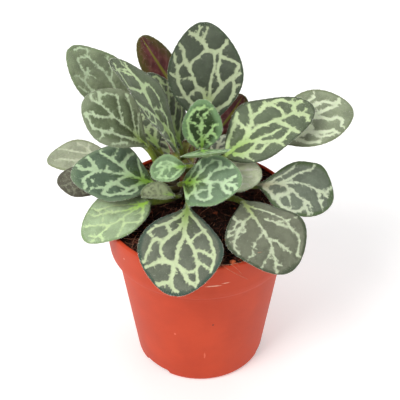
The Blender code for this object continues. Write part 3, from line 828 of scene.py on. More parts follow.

# %% [markdown]
# ## The veins that show
# A leaf's net is a tree of veins: a midrib, side veins that leave it and bend forwards, links
# between them, and short spurs. It could be painted with a cell texture, but cells do not
# branch. So the net of each leaf in front is drawn on the flat blade, vein by vein, as in a
# botanist's sketch. A vein is a row of points that a smooth curve passes through. Its first
# number is its half width in tenths of a millimetre. Each point is in hundredths: along the
# blade from its base, and across it from the midrib to either margin.

# %% The veins that show
NETS = {
    "leaf_back_tall": (
        (7, (0, 0), (28, 8), (45, 13), (60, 24), (72, 30)),
        (9, (72, 30), (76, 8), (83, -8), (87, -35), (90, -62)),
        (8, (72, 30), (74, 50), (80, 78), (84, 98)),
        (9, (22, 5), (34, 30), (42, 47), (49, 72), (60, 92)),
        (7, (42, 45), (50, 33), (60, 35), (68, 45), (74, 50)),
        (7, (68, 45), (65, 68), (60, 92)),
        (9, (10, 15), (18, 50), (26, 82), (40, 78), (48, 72)),
        (8, (24, 2), (36, -10), (42, -28), (50, -33), (60, -40), (67, -27), (74, 0)),
        (9, (60, -42), (68, -60), (76, -68), (82, -95)),
        (8, (12, -35), (24, -52), (36, -68), (50, -75), (60, -70), (65, -58)),
        (6, (36, -12), (38, -30), (34, -48), (30, -60)),
        (4, (49, -33), (50, -50), (49, -72)),
        (5, (60, -72), (66, -85), (74, -95)),
        (5, (40, 78), (42, 95)),
        (6, (83, -8), (90, 10), (95, 30)),
        (5, (87, -35), (93, -25), (97, -35)),
        (5, (50, -75), (55, -92)),
        (5, (49, 72), (52, 94))),
    "leaf_front_broad": (
        (10, (0, 0), (15, -2), (30, -3), (45, -2), (55, 5), (66, 6), (72, 8)),
        (8, (38, -5), (48, -18), (58, -33), (68, -45), (76, -50), (87, -75)),
        (8, (72, 8), (77, -12), (84, -30), (87, -50), (90, -82)),
        (9, (72, 8), (71, 30), (72, 50), (76, 72), (79, 90)),
        (9, (20, 5), (32, 12), (42, 28), (52, 42), (62, 45), (71, 35)),
        (9, (8, 12), (20, 42), (30, 58), (38, 38), (43, 28)),
        (6, (30, 58), (38, 82), (45, 88)),
        (7, (52, 42), (50, 62), (57, 70), (66, 78), (74, 88)),
        (5, (50, 62), (46, 82)),
        (9, (72, 10), (80, 13), (88, 20), (90, 45), (92, 75)),
        (7, (88, 20), (95, 8), (96, -20)),
        (8, (10, -25), (20, -50), (32, -62), (42, -72), (50, -72), (60, -80), (76, -88)),
        (6, (34, -58), (42, -33), (50, -20)),
        (6, (58, -35), (57, -50), (60, -65), (64, -80)),
        (5, (68, -45), (70, -62), (74, -82)),
        (5, (77, -15), (78, -38), (75, -50))),
    "leaf_left_broad": (
        (5, (0, 0), (15, 4), (30, 10), (45, 7), (58, 10), (70, 13)),
        (8, (70, 13), (76, 20), (85, 22), (90, 35), (92, 60), (95, 85)),
        (7, (70, 13), (76, -3), (82, -20), (84, -45), (80, -68), (82, -80)),
        (8, (70, 15), (73, 35), (78, 60), (82, 85)),
        (6, (28, 10), (38, 30), (48, 45), (56, 60), (66, 80)),
        (7, (38, 30), (36, 50), (33, 68), (27, 88)),
        (6, (12, 10), (16, 45), (20, 82)),
        (4, (50, 47), (51, 62), (47, 80)),
        (4, (57, 10), (58, 32)),
        (6, (30, 8), (40, -10), (45, -25), (52, -38), (62, -54), (74, -68)),
        (7, (8, -5), (14, -20), (22, -38), (30, -55), (40, -68), (50, -75), (62, -78)),
        (6, (30, -52), (37, -42), (42, -27), (50, -28), (57, -34)),
        (6, (22, -38), (20, -60), (26, -78), (36, -72)),
        (7, (52, -38), (57, -55), (60, -76)),
        (4, (73, -42), (75, -28))),
    "leaf_right_broad": (
        (7, (0, -5), (15, -10), (28, -18), (42, -22), (55, -17), (68, -13), (80, -10)),
        (7, (18, -10), (27, 2), (33, 10), (42, 15), (50, 22), (60, 22)),
        (10, (60, -15), (64, 5), (66, 25), (68, 45), (70, 68)),
        (9, (33, 10), (36, 30), (45, 45), (50, 60), (57, 64), (68, 50)),
        (10, (8, 25), (14, 45), (22, 40), (30, 25), (35, 20)),
        (6, (14, 45), (17, 66)),
        (7, (24, 42), (30, 60), (38, 50), (46, 47)),
        (5, (50, 60), (52, 80)),
        (9, (80, -10), (84, 10), (88, 30), (89, 55), (87, 72)),
        (9, (80, -10), (82, -30), (83, -45), (88, -62), (92, -72)),
        (7, (68, -13), (70, -40), (66, -65), (64, -75)),
        (8, (27, -20), (34, -35), (40, -45), (42, -65), (44, -82)),
        (7, (42, -55), (50, -62), (56, -72), (60, -85)),
        (8, (5, -60), (15, -74), (25, -80), (30, -90)),
        (7, (25, -80), (29, -58), (30, -35)),
        (8, (56, -72), (66, -80), (76, -85), (83, -60)),
        (5, (84, 10), (93, 0))),
    "leaf_right_far": (
        (8, (0, 0), (20, -5), (40, -10), (55, -12), (70, -20), (80, -25), (85, -40), (90, -70)),
        (9, (56, -10), (66, 5), (72, 20), (80, 25), (84, 50), (80, 68)),
        (10, (30, 50), (42, 35), (50, 45), (60, 58), (70, 65)),
        (7, (50, 45), (52, 65), (60, 74), (72, 78)),
        (9, (24, 30), (33, 62), (40, 80), (50, 85)),
        (11, (20, 5), (32, 18), (44, 10), (50, 22), (46, 38)),
        (8, (22, -6), (32, -30), (42, -48), (55, -62), (66, -72)),
        (8, (42, -12), (52, -32), (63, -44), (74, -50), (84, -45)),
        (7, (10, -4), (18, -38), (30, -66), (42, -80)),
        (6, (42, -48), (50, -34)),
        (6, (30, -66), (38, -46))),
    "leaf_front_right": (
        (6, (0, 0), (8, 4), (16, 6), (25, 7)),
        (4, (25, 7), (40, 6), (50, 7), (60, 8), (70, 13), (80, 25), (86, 38), (93, 65)),
        (4, (58, 7), (66, -8), (74, -20), (80, -27), (82, -38)),
        (3, (71, 16), (75, 35), (80, 60)),
        (3, (86, 36), (90, 20)),
        (3, (49, 8), (55, 35), (60, 52), (68, 70)),
        (4, (24, 10), (28, 42), (33, 55), (40, 72), (50, 86), (60, 90)),
        (3, (29, 44), (39, 46)),
        (4, (28, 42), (24, 60), (20, 75), (15, 90)),
        (3, (33, 55), (36, 72), (35, 92)),
        (3, (24, 60), (31, 78), (29, 95)),
        (4, (8, -4), (15, -22), (22, -42), (32, -55), (45, -62), (55, -62)),
        (5, (36, -20), (43, -35), (50, -42), (56, -55), (65, -66), (76, -74), (88, -64)),
        (3, (45, -37), (47, -52))),
    "leaf_left_round": (
        (3, (0, 0), (20, 3), (40, 5), (52, 4), (60, 3)),
        (4, (60, 3), (70, 12), (82, 17), (93, 25)),
        (4, (44, 6), (55, 30), (62, 50), (70, 75)),
        (4, (58, 2), (66, -15), (73, -28), (80, -40), (85, -55), (90, -75)),
        (5, (82, 17), (85, 40), (88, 60), (90, 75)),
        (4, (93, 25), (96, 50), (97, 75)),
        (5, (12, -14), (22, -30), (35, -42), (45, -45), (55, -55), (63, -63), (72, -78)),
        (4, (52, -52), (51, -34)),
        (4, (59, -60), (57, -85)),
        (3, (80, -40), (84, -28)),
        (4, (26, -66), (33, -75), (41, -86)),
        (3, (20, 6), (34, 42), (48, 72), (60, 88)),
        (3, (70, 75), (80, 70), (88, 60)),
        (4, (72, -78), (80, -70), (90, -75)),
        (3, (14, 4), (22, 40), (32, 74))),
    "leaf_right": (
        (5, (0, 0), (12, -10), (25, -18), (40, -20), (55, -22), (68, -17), (80, -8)),
        (4, (80, -8), (88, -12), (92, -35), (95, -70)),
        (4, (80, -8), (80, 15), (82, 40), (85, 66)),
        (3, (82, 40), (87, 28)),
        (3, (85, -9), (92, 12)),
        (5, (28, -18), (40, -40), (50, -58), (60, -68), (68, -80)),
        (5, (28, -17), (37, 0), (45, 6), (50, 20), (58, 35), (68, 42)),
        (7, (8, 30), (18, 55), (25, 55), (30, 36), (38, 26), (45, 10)),
        (6, (25, 55), (32, 75), (45, 85), (55, 80), (62, 60), (62, 42)),
        (4, (62, 60), (68, 82)),
        (3, (38, 26), (42, 42)),
        (4, (10, -10), (18, -40), (30, -62), (42, -76))),
    "leaf_centre": (
        (4, (0, 0), (12, 5), (20, 5), (30, 3), (40, 5), (50, 8), (60, 8), (68, 13), (80, 25), (93, 30)),
        (5, (2, 60), (8, 72), (15, 52), (22, 35), (21, 8)),
        (5, (22, 35), (26, 60), (32, 72), (45, 75), (53, 66)),
        (3, (26, 50), (36, 40), (48, 30)),
        (7, (50, 9), (50, 30), (50, 50), (53, 68)),
        (6, (68, 14), (72, 35), (76, 60), (83, 74)),
        (6, (80, 25), (88, 36), (91, 60)),
        (5, (72, 14), (78, 2), (84, -15), (90, -30)),
        (5, (38, 4), (47, -18), (55, -35), (63, -45), (70, -55), (80, -65)),
        (6, (62, -43), (64, -60), (63, -78)),
        (3, (48, -76), (63, -78)),
        (5, (18, 2), (25, -25), (33, -45), (42, -62), (50, -76)),
        (5, (30, -36), (28, -60), (25, -84)),
        (5, (6, -5), (14, -50), (20, -80))),
    "leaf_centre_pale": (
        (5, (5, 0), (25, -8), (50, -12), (75, -26), (90, -40)),
        (3, (20, -6), (35, 25), (52, 48), (70, 62)),
        (3, (42, -12), (60, 12), (80, 22)),
        (3, (30, -12), (45, -42), (62, -62)),
        (4, (10, 12), (22, 55), (42, 82))),
    "young_leaf_left": (
        (3, (0, 0), (20, 8), (45, 14), (70, 10), (90, 0)),
        (4, (20, 12), (38, 45), (58, 58), (80, 45)),
        (3, (42, 14), (50, -22), (60, -48)),
        (5, (64, 8), (75, -30), (84, -62)),
        (3, (56, 14), (66, 38), (78, 48)),
        (4, (10, -10), (24, -48), (42, -70), (64, -70), (84, -60))),
    "young_leaf_upright": (
        (3, (5, 0), (18, -3), (30, -5), (45, -5), (55, -3), (65, 0), (72, 10)),
        (3, (47, -8), (39, -27)),
        (3, (47, -10), (54, -28), (58, -42)),
        (3, (47, -4), (52, 12)),
        (4, (16, -4), (28, 15), (38, 35), (45, 50), (55, 62)),
        (5, (38, 38), (36, 65), (28, 85)),
        (4, (28, 18), (20, 40), (15, 72)),
        (5, (10, -60), (20, -58), (30, -66), (45, -68), (60, -75), (75, -70), (83, -50)),
        (4, (32, -68), (25, -90)),
        (3, (64, -3), (70, -20), (74, -32)),
        (4, (72, 10), (76, 25), (83, 58)),
        (7, (84, -8), (90, 22)),
        (5, (82, -20), (86, -45))),
    "leaf_left_far": (
        (4, (0, 0), (14, 14), (30, 30), (50, 33), (65, 34), (80, 38)),
        (3, (80, 38), (87, 82)),
        (3, (80, 38), (86, -5)),
        (3, (93, 55), (95, 20)),
        (4, (34, -20), (46, -48), (60, -50), (66, -25), (70, 2)),
        (3, (66, -18), (54, 0)),
        (4, (67, -25), (76, -24)),
        (3, (42, 32), (52, 62), (64, 80)),
        (4, (20, 20), (30, -8), (36, -34), (42, -62)),
        (3, (62, -50), (72, -66)),
        (3, (46, -48), (52, -74), (62, -86)),
        (3, (87, 82), (92, 60), (95, 20)),
        (3, (76, -24), (86, -5))),
    "leaf_left_folded": (
        (4, (0, 0), (15, 6), (25, 8), (35, 0), (50, 8), (60, 22)),
        (8, (50, 12), (60, 25), (63, 45), (60, 62)),
        (6, (6, 10), (12, 45), (20, 25), (28, 10)),
        (7, (35, 0), (42, -25), (50, -40), (55, -60), (62, -78)),
        (8, (60, 22), (68, -10), (73, -40), (76, -70)),
        (6, (42, -28), (38, -60), (45, -86)),
        (5, (25, 8), (25, -30), (28, -70)),
        (4, (78, 34), (85, 15), (90, -10), (92, -55)),
        (5, (63, 40), (75, 45), (86, 68)),
        (5, (50, -42), (47, -70)),
        (5, (12, 5), (14, -40), (20, -75)),
        (4, (35, 45), (45, 60), (60, 62)),
        (4, (20, 25), (28, 52), (35, 46), (40, 28), (44, 8)),
        (5, (60, 22), (72, 38), (82, 50), (90, 60)),
        (5, (76, -70), (84, -42), (91, -22), (96, 8)),
        (4, (82, 50), (88, 22), (91, -10)),
        (4, (45, -86), (55, -78), (66, -86))),
    "leaf_front_left": (
        (4, (0, 0), (10, -10), (20, -15), (35, -22), (45, -27), (60, -28), (70, -35), (85, -48)),
        (4, (10, -8), (30, -2), (40, 5), (50, 20), (60, 32), (72, 50)),
        (4, (8, -6), (20, 15), (35, 30), (50, 45), (65, 62)),
        (4, (62, -26), (70, -5), (77, 10), (82, 30), (88, 50)),
        (2, (62, 32), (65, 12), (67, 2)),
        (4, (42, -27), (46, -50), (55, -75), (61, -90)),
        (4, (46, -50), (36, -62), (28, -80)),
        (5, (8, -10), (14, -45), (20, -75), (24, -90)),
        (3, (15, -50), (27, -40)),
        (3, (21, -75), (30, -88)),
        (4, (79, -43), (79, -72), (81, -92)),
        (3, (85, -48), (88, -30), (92, -15)),
        (3, (85, -48), (90, -70), (94, -85))),
    "leaf_left_pale": (
        (5, (0, 0), (20, 10), (35, 18), (50, 20), (65, 35), (75, 50), (85, 76)),
        (4, (33, 18), (40, 50), (55, 72)),
        (3, (40, 50), (40, 82)),
        (5, (35, 15), (42, -18), (52, -30), (65, -28), (77, -20), (87, -30)),
        (4, (52, -32), (55, -78)),
        (4, (15, 4), (25, -35), (36, -70))),
}
print("nets drawn:", len(NETS), "with", sum(len(net) for net in NETS.values()), "veins")

# %% [markdown]
# ## The veins that a rule draws
# The leaves behind show little, so a rule is enough for their nets. Side veins leave the midrib
# at even steps and sweep forwards, and links close the cells between them. A seeded draw moves
# each of them a little, so no two leaves are alike and each is the same in every run. A vein that
# ends free gets a thin tail to the margin, because that is where a real one fades.

# %% The veins that a rule draws
SIDE_VEINS = 4
VEIN_REACH = 0.82


def ruled_net(bold, draw):
    """The veins of a leaf behind, as lists of (along, across, half width in mm)."""
    end = draw.uniform(0.84, 0.9)
    lines = [[(0, 0, bold * 1.1), (0.4, 0.03, bold * 0.9), (end, 0.0, bold * 0.5)]]
    lines += [[(end - 0.06, 0, bold * 0.6), (end + 0.02, fork * 0.3, bold * 0.4)] for fork in (-1, 1)]
    for side in (-1, 1):
        previous = None
        for number in range(SIDE_VEINS):
            start = 0.06 + 0.74 * (number + draw.uniform(0.05, 0.35)) / SIDE_VEINS
            sweep = draw.uniform(0.20, 0.27) * (1.25 - 0.12 * number)
            reach = side * VEIN_REACH * draw.uniform(0.93, 1.04)
            shape = ((0, 0, 1.0), (0.3, 0.36, 0.9), (0.6, 0.68, 0.75), (1.0, 1.0, 0.55))
            line = [(min(start + sweep * forward, 0.94), reach * out, bold * width)
                    for forward, out, width in shape]
            lines.append(line)
            if previous and draw.random() < 0.9:
                lines.append([previous[3], line[2]])
            if previous and draw.random() < 0.7:
                lines.append([previous[2], line[1]])
            previous = line
        lines.append([previous[3], (0.93, side * 0.3, bold * 0.4)])
    return [[(along, across, min(width, bold)) for along, across, width in line] for line in lines]


def tails(lines):
    """A thin run to the margin from each vein that ends free."""
    found = []
    for line in lines:
        (along, across, width), before = line[-1], line[-2]
        others = [spot for other in lines if other is not line for spot in other]
        free = all(math.hypot(along - spot[0], (across - spot[1]) * 0.5) > 0.05 for spot in others)
        if free and 0.4 < abs(across) < 0.93:
            gap = math.copysign(0.97, across) - across
            slope = min(0.35, max(0.1, along - before[0]))
            found.append([line[-1], (min(0.97, along + slope * abs(gap)), across + gap, 0.3 * width)])
    return found


def drawn_net(name):
    """The veins of a leaf in front, from the list above."""
    lines = []
    for vein in NETS[name]:
        points = vein[1:]
        last = len(points) - 1
        lines.append([(along / 100, across / 100, vein[0] / 10 * (1 - 0.3 * number / last))
                      for number, (along, across) in enumerate(points)])
    return lines + tails(lines)


# %% [markdown]
# ## From veins to a distance
# A smooth curve is passed through each vein, wobbled a little, and cut into short straight
# pieces. Short spurs leave it on both sides, because the pale bands have thorny edges. For every
# point of the blade the distance to the edge of the nearest vein is found: it is negative inside
# a vein. Where veins meet, their distances are blended, which fills the corners between them as
# on the real leaf. Numpy does this for all the points at once.

# %% Vein distance
CURVE_STEPS = 4
WOBBLE = 0.22
WEB = 0.22


def curve_through(points, steps):
    """Points on a smooth curve through the given ones."""
    ends = [points[0], *points, points[-1]]
    curve = []
    for a, b, c, d in zip(ends, ends[1:], ends[2:], ends[3:]):
        a, b, c, d = (np.array(point) for point in (a, b, c, d))
        for step in range(steps):
            r = step / steps
            curve.append(0.5 * (2 * b + (c - a) * r + (2 * a - 5 * b + 4 * c - d) * r ** 2
                                + (3 * b - a - 3 * c + d) * r ** 3))
    curve.append(np.array(points[-1]))
    return curve


def flat_veins(leaf, lines, spurs, draw):
    """Each vein and spur as an array of rows: place in flat millimetres and half width."""
    length = (Vector(leaf.tip) - Vector(leaf.base)).length
    veins = []
    for line in lines:
        spots = curve_through(line, CURVE_STEPS)
        rows = np.array([(along * length, across * half_width(leaf, max(0.0, along)), width)
                         for along, across, width in spots])
        wobble = [draw.uniform(-WOBBLE, WOBBLE) for _ in range(2 * (len(rows) - 2))]
        rows[1:-1, :2] += np.array(wobble).reshape(-1, 2)
        veins.append(rows)
        for first, last in zip(rows, rows[1:]):
            run = last[:2] - first[:2]
            size = math.hypot(*run)
            if size < 0.3 or draw.random() > spurs:
                continue
            turned = math.radians(draw.choice((-1, 1)) * draw.uniform(40, 80))
            way = np.array((run[0] * math.cos(turned) - run[1] * math.sin(turned),
                            run[0] * math.sin(turned) + run[1] * math.cos(turned))) / size
            far = first[:2] + way * (first[2] + draw.uniform(0.5, 1.6))
            veins.append(np.array(((*first[:2], first[2] * 0.6), (*far, 0.04))))
    return veins


def vein_distance(points, veins):
    """For flat points, the distance to the edge of the nearest veins; negative inside one."""
    total = np.zeros(len(points))
    for rows in veins:
        best = np.full(len(points), 99.0)
        for first, last in zip(rows, rows[1:]):
            run = last[:2] - first[:2]
            share = np.clip(((points - first[:2]) @ run) / max(float(run @ run), 1e-9), 0, 1)
            away = points - first[:2] - share[:, None] * run
            width = first[2] + (last[2] - first[2]) * share
            best = np.minimum(best, np.hypot(away[:, 0], away[:, 1]) - width)
        total += np.exp(-best / WEB)
    return -WEB * np.log(total + 1e-60)


# %% [markdown]
# ## A leaf's mesh
# A leaf could be a flat grid with a thickness, but its stalk is round. So one grid is wrapped
# into a tube: its rows run along the leaf, and its columns go round the section, over the upper
# face and back under the lower one. On the stalk the section is oval, and on the blade it is
# flat. The grid primitive gives the faces, and the formula of the plain model moves its points.

# %% Leaf sections
STALK_ROWS = 12
ROW_STEP = 0.42
COLUMN_STEP = 0.5
UNDER_COLUMNS = 21
BLADE_THICKNESS = 1.1
MARGIN_THICKNESS = 0.55
GROOVE = 0.30
QUILT = 0.30
SCALLOP_STEP = 2.6
SCALLOP_DEPTH = 0.14


class Section:
    """The place and the directions of one cross-section of a leaf."""

    def __init__(self, leaf, curves, share):
        self.leaf = leaf
        self.share = share
        facing = Vector(leaf.facing)
        if share < 0:
            self.place, along = bezier(curves[0], 1 + share)
            self.face = square_to(along, Vector((0, 0, 1)).lerp(facing, 1 + share))
            self.half = 0.5 * leaf.stalk
        else:
            self.place, along = bezier(curves[1], share)
            self.face = square_to(along, facing)
            self.half = half_width(leaf, share)
        self.uneven = {side: uneven(leaf, share, side) if share > 0 else 1 for side in (-1, 0, 1)}
        self.side = along.cross(self.face)
        self.small = min(1, leaf.width / 20)
        self.length = (Vector(leaf.tip) - Vector(leaf.base)).length

    def lift(self, across, upper, distance):
        """How far the skin of the blade stands off its flat middle, on either face."""
        leaf, share, small = self.leaf, self.share, self.small
        turned = math.tau * 1.6 * share + 1.9 * across + math.radians(2 * leaf.root[0])
        lift = leaf.wave * across ** 2 * math.sin(turned) * math.sin(math.pi * share)
        lift += abs(across) * self.half * math.tan(math.radians(leaf.fold))
        thick = MARGIN_THICKNESS + (BLADE_THICKNESS - MARGIN_THICKNESS) * (1 - abs(across))
        joined = (1 - share) ** 6
        thick = thick * (1 - joined) + 0.84 * leaf.stalk * joined
        lift += upper * 0.5 * thick * math.sqrt(max(0.0, 1 - abs(across) ** 5))
        if upper < 0:
            lift -= RIB_DEPTH * small * (1 - share) * math.exp(-(across * self.half / 1.1) ** 2)
        inside = min(1.0, (1 - abs(across)) * 5, share * 6, (1 - share) * 8)
        groove = GROOVE * math.exp(-(max(distance, 0.0) / 0.7) ** 2)
        quilt = QUILT * min(1.0, max(distance, 0.0) / 2.2)
        return lift + small * inside * (quilt - groove)

    def point(self, across, upper, distance):
        """A point of the skin; across runs from -1 to 1, upper is 1 on the upper face."""
        flat = self.place + self.side * across * self.half * self.uneven[int(np.sign(across))]
        if self.share < 0:
            oval = math.sqrt(max(0.0, 1 - across * across))
            return flat + self.face * upper * 0.42 * self.leaf.stalk * oval
        scallop = abs(math.sin(math.pi * self.share * self.length / SCALLOP_STEP)) - 0.5
        flat += self.side * across ** 7 * SCALLOP_DEPTH * self.small * scallop
        return flat + self.face * self.lift(across, upper, distance)

    def rim(self, across):
        """Distance in millimetres from a point of the blade to its margin."""
        if self.share < 0:
            return 9.0
        return min((1 - abs(across)) * self.half, (1 - self.share) * self.length * 0.8)


def spread(count):
    """Places across a blade, a little closer together at its margins."""
    places = []
    for number in range(count):
        even = 2 * number / (count - 1) - 1
        places.append(0.6 * even + 0.4 * math.sin(math.pi / 2 * even))
    return places


# %% [markdown]
# ## Growing one leaf
# The grid's points are set row by row. Then its two long edges are merged into a tube and its
# ends are filled. Two attributes go with the points. One holds the distance to the veins, the
# distance to the margin, and whether the point is on the underside. The other holds the place on
# the blade. The leaf's material reads both.

# %% Growing one leaf
def grow_leaf(leaf, bold, spurs, seed):
    """Make one leaf's closed mesh with its attributes."""
    draw = random.Random(seed)
    curves = leaf_curves(leaf)
    lines = drawn_net(leaf.name) if leaf.name in NETS else ruled_net(bold, draw)
    veins = flat_veins(leaf, lines, spurs, draw)
    length = (Vector(leaf.tip) - Vector(leaf.base)).length
    rows = round(length / ROW_STEP)
    shares = [row / STALK_ROWS - 1 for row in range(STALK_ROWS)]
    shares += [(1 - math.cos(math.pi * row / rows)) / 2 for row in range(rows + 1)]
    sections = [Section(leaf, curves, share) for share in shares]
    around = [(across, 1) for across in spread(max(25, round(leaf.width / COLUMN_STEP)))]
    around += [(across, -1) for across in reversed(spread(UNDER_COLUMNS))]
    spots = np.array([(max(section.share, -0.05) * length, across * section.half)
                      for across, _ in around for section in sections])
    distance = vein_distance(spots, veins).reshape(len(around), len(sections))

    deselect()
    bpy.ops.mesh.primitive_grid_add(x_subdivisions=len(shares) - 1, y_subdivisions=len(around),
                                    size=2)
    piece = bpy.context.object
    piece.name = leaf.name + "_blade"
    piece.data.name = piece.name
    points, net, place = [], [], []
    for ring in range(len(around) + 1):
        number = ring % len(around)
        across, upper = around[number]
        for row, section in enumerate(sections):
            near = distance[number][row]
            points.append(section.point(across, upper, near) * MM)
            net.append((near, section.rim(across), 0.0 if upper > 0 else 1.0))
            place.append((section.share, across, 0.0))
    piece.data.vertices.foreach_set("co", np.array(points).ravel())
    for name, values in (("leaf_net", net), ("leaf_place", place)):
        layer = piece.data.attributes.new(name, "FLOAT_VECTOR", "POINT")
        layer.data.foreach_set("vector", np.array(values).ravel())
    bpy.ops.object.mode_set(mode="EDIT")
    bpy.ops.mesh.select_all(action="SELECT")
    bpy.ops.mesh.remove_doubles(threshold=1e-7)
    bpy.ops.mesh.select_all(action="DESELECT")
    bpy.ops.mesh.select_non_manifold()
    bpy.ops.mesh.fill_holes(sides=0)
    bpy.ops.mesh.select_all(action="SELECT")
    bpy.ops.mesh.normals_make_consistent(inside=False)
    bpy.ops.object.mode_set(mode="OBJECT")
    return piece


# %% [markdown]
# ## The leaf's skin
# The dark cells are a greyed green, mottled by the fine hairs that cover them, and the margin has
# a rim that is darker on most leaves and lighter on some. The pale net is not sharp: its edge is
# frayed, so noise is added to the vein distance before it is cut. Near the base the net turns
# bright green, and painted shade darkens the cells around it. The stalk is yellow green, and
# painted shade darkens its foot in the heart of the plant. The underside is wine purple with
# olive edges and yellow ribs.
# A skin lists those colours, how broad the rim is in millimetres, and how strongly painted shade
# darkens the cells near the base.

# %% The leaf's skin
Skin = namedtuple("Skin", "dark rim pale base rim_width glow")
SKINS = {
    "slate": Skin((0.070, 0.088, 0.056), (0.050, 0.075, 0.040), (0.49, 0.57, 0.35),
                  (0.30, 0.42, 0.09), 1.6, 0.3),
    "shaded": Skin((0.080, 0.105, 0.060), (0.055, 0.085, 0.038), (0.47, 0.60, 0.30),
                   (0.20, 0.34, 0.05), 1.6, 0.9),
    "folded": Skin((0.135, 0.170, 0.100), (0.090, 0.120, 0.062), (0.66, 0.82, 0.46),
                   (0.30, 0.46, 0.08), 1.4, 0.9),
    "fogged": Skin((0.20, 0.245, 0.145), (0.19, 0.25, 0.13), (0.54, 0.68, 0.44),
                   (0.30, 0.46, 0.10), 1.5, 0.7),
    "sandy": Skin((0.33, 0.365, 0.25), (0.26, 0.30, 0.17), (0.64, 0.70, 0.50),
                  (0.40, 0.50, 0.20), 1.5, 0.2),
    "broad": Skin((0.135, 0.155, 0.110), (0.050, 0.085, 0.060), (0.64, 0.75, 0.45),
                  (0.30, 0.46, 0.10), 2.6, 0.75),
    "fern": Skin((0.120, 0.155, 0.090), (0.070, 0.095, 0.050), (0.62, 0.76, 0.42),
                 (0.36, 0.56, 0.14), 1.4, 0.55),
    "misted": Skin((0.25, 0.29, 0.185), (0.20, 0.24, 0.13), (0.76, 0.86, 0.60),
                   (0.40, 0.55, 0.20), 1.5, 0.2),
    "moss": Skin((0.125, 0.165, 0.085), (0.23, 0.28, 0.17), (0.60, 0.74, 0.48),
                 (0.24, 0.36, 0.06), 5.0, 0.95),
    "grey": Skin((0.160, 0.175, 0.118), (0.065, 0.085, 0.045), (0.62, 0.70, 0.48),
                 (0.34, 0.42, 0.15), 2.2, 0.35),
    "teal": Skin((0.145, 0.175, 0.125), (0.085, 0.130, 0.055), (0.66, 0.75, 0.53),
                 (0.42, 0.40, 0.26), 3.0, 0.3),
    "light": Skin((0.37, 0.49, 0.285), (0.25, 0.36, 0.17), (0.68, 0.87, 0.46),
                  (0.42, 0.74, 0.09), 1.5, 0.5),
    "sea": Skin((0.095, 0.150, 0.090), (0.155, 0.230, 0.135), (0.54, 0.73, 0.44),
                (0.20, 0.40, 0.03), 3.0, 0.95),
    "mint": Skin((0.155, 0.235, 0.140), (0.20, 0.33, 0.16), (0.60, 0.80, 0.50),
                 (0.34, 0.62, 0.05), 2.0, 0.95),
    # Painted light: the centre leaf is pale, and its colours are lifted further against the shade that
    # the broad leaf above casts on it.
    "pale_painted_light": Skin((0.62, 0.70, 0.46), (0.42, 0.49, 0.30), (0.90, 0.94, 0.76),
                  (0.62, 0.70, 0.42), 1.2, 0.1),
    "curl": Skin((0.17, 0.19, 0.11), (0.20, 0.25, 0.12), (0.40, 0.47, 0.27),
                 (0.30, 0.50, 0.10), 1.0, 0.2),
    "bud": Skin((0.075, 0.050, 0.020), (0.13, 0.045, 0.02), (0.24, 0.24, 0.05),
                (0.16, 0.15, 0.02), 0.8, 0.5),
    "olive": Skin((0.20, 0.24, 0.15), (0.18, 0.23, 0.11), (0.38, 0.46, 0.27),
                  (0.18, 0.33, 0.04), 2.0, 0.5),
    # Painted shade: the low leaf under the broad left one has its cells and net dimmed.
    "dusky": Skin((0.115, 0.112, 0.078), (0.100, 0.095, 0.065), (0.25, 0.26, 0.18),
                  (0.18, 0.25, 0.06), 2.0, 0.2),
    "young": Skin((0.030, 0.058, 0.016), (0.180, 0.310, 0.140), (0.50, 0.75, 0.32),
                  (0.18, 0.36, 0.03), 4.2, 0.5),
    "fresh": Skin((0.165, 0.265, 0.130), (0.24, 0.38, 0.18), (0.50, 0.72, 0.38),
                  (0.20, 0.42, 0.03), 1.5, 0.8),
}
STALK_COLOURS = ((0.13, 0.19, 0.012), (0.27, 0.33, 0.045))
STALK_SHADE = (0.060, 0.045, 0.012)
YOUNG_SKINS = ("young", "fresh", "mint", "curl")
PURPLE_COLOURS = ((0.100, 0.024, 0.024), (0.17, 0.045, 0.045))


def upper_colour(tree, skin, place, vein, rim, along, across, grain):
    """Colour of the upper face, and its net as a mask."""
    coarse = math_node(tree, "SUBTRACT", noise_node(tree, place, 650, 2, 0.6), 0.5)
    fine = math_node(tree, "SUBTRACT", noise_node(tree, place, 2400, 2, 0.6), 0.5)
    fray = math_node(tree, "MULTIPLY_ADD", fine, 0.7, math_node(tree, "MULTIPLY", coarse, 1.1))
    edge = math_node(tree, "ADD", vein, fray)
    net = math_node(tree, "SUBTRACT", 1.0, step_node(tree, edge, -0.25, 0.25))
    net = math_node(tree, "MULTIPLY", net, step_node(tree, rim, 0.3, 1.3))

    clouds = noise_node(tree, place, 150, 3, 0.55)
    dark = mix_node(tree, step_node(tree, clouds, 0.35, 0.65),
                    darker(skin.dark, 0.84), darker(skin.dark, 1.14))
    speckle = math_node(tree, "MULTIPLY", step_node(tree, grain, 0.5, 0.75), 0.55)
    dark = mix_node(tree, speckle, dark, darker(skin.dark, 1.9))
    rough_rim = math_node(tree, "MULTIPLY_ADD", coarse, 1.5, rim)
    dark = mix_node(tree, step_node(tree, rough_rim, skin.rim_width, 0.3 * skin.rim_width),
                    dark, skin.rim)
    crust = step_node(tree, noise_node(tree, place, 1300, 2), 0.45, 0.7)
    pale = mix_node(tree, step_node(tree, clouds, 0.3, 0.7), skin.pale, darker(skin.pale, 0.84))
    pale = mix_node(tree, math_node(tree, "MULTIPLY", crust, 0.35), pale, darker(skin.pale, 1.2))
    pale = mix_node(tree, math_node(tree, "MULTIPLY", step_node(tree, edge, -0.9, 0.1), 0.3),
                    pale, darker(skin.pale, 0.72))
    reach = math_node(tree, "MULTIPLY_ADD", across, 0.4, along)
    pale = mix_node(tree, step_node(tree, reach, 0.50, 0.08), pale, skin.base)
    # Painted shade: near the base, where the heart of the plant shades it, the dark cells turn a deeper
    # green.
    inner = math_node(tree, "MULTIPLY_ADD", coarse, 0.5, reach)
    inner = math_node(tree, "MULTIPLY", step_node(tree, inner, 0.62, 0.12), skin.glow)
    dark = mix_node(tree, inner, dark, darker(skin.base, 0.2))
    return mix_node(tree, net, dark, pale), net


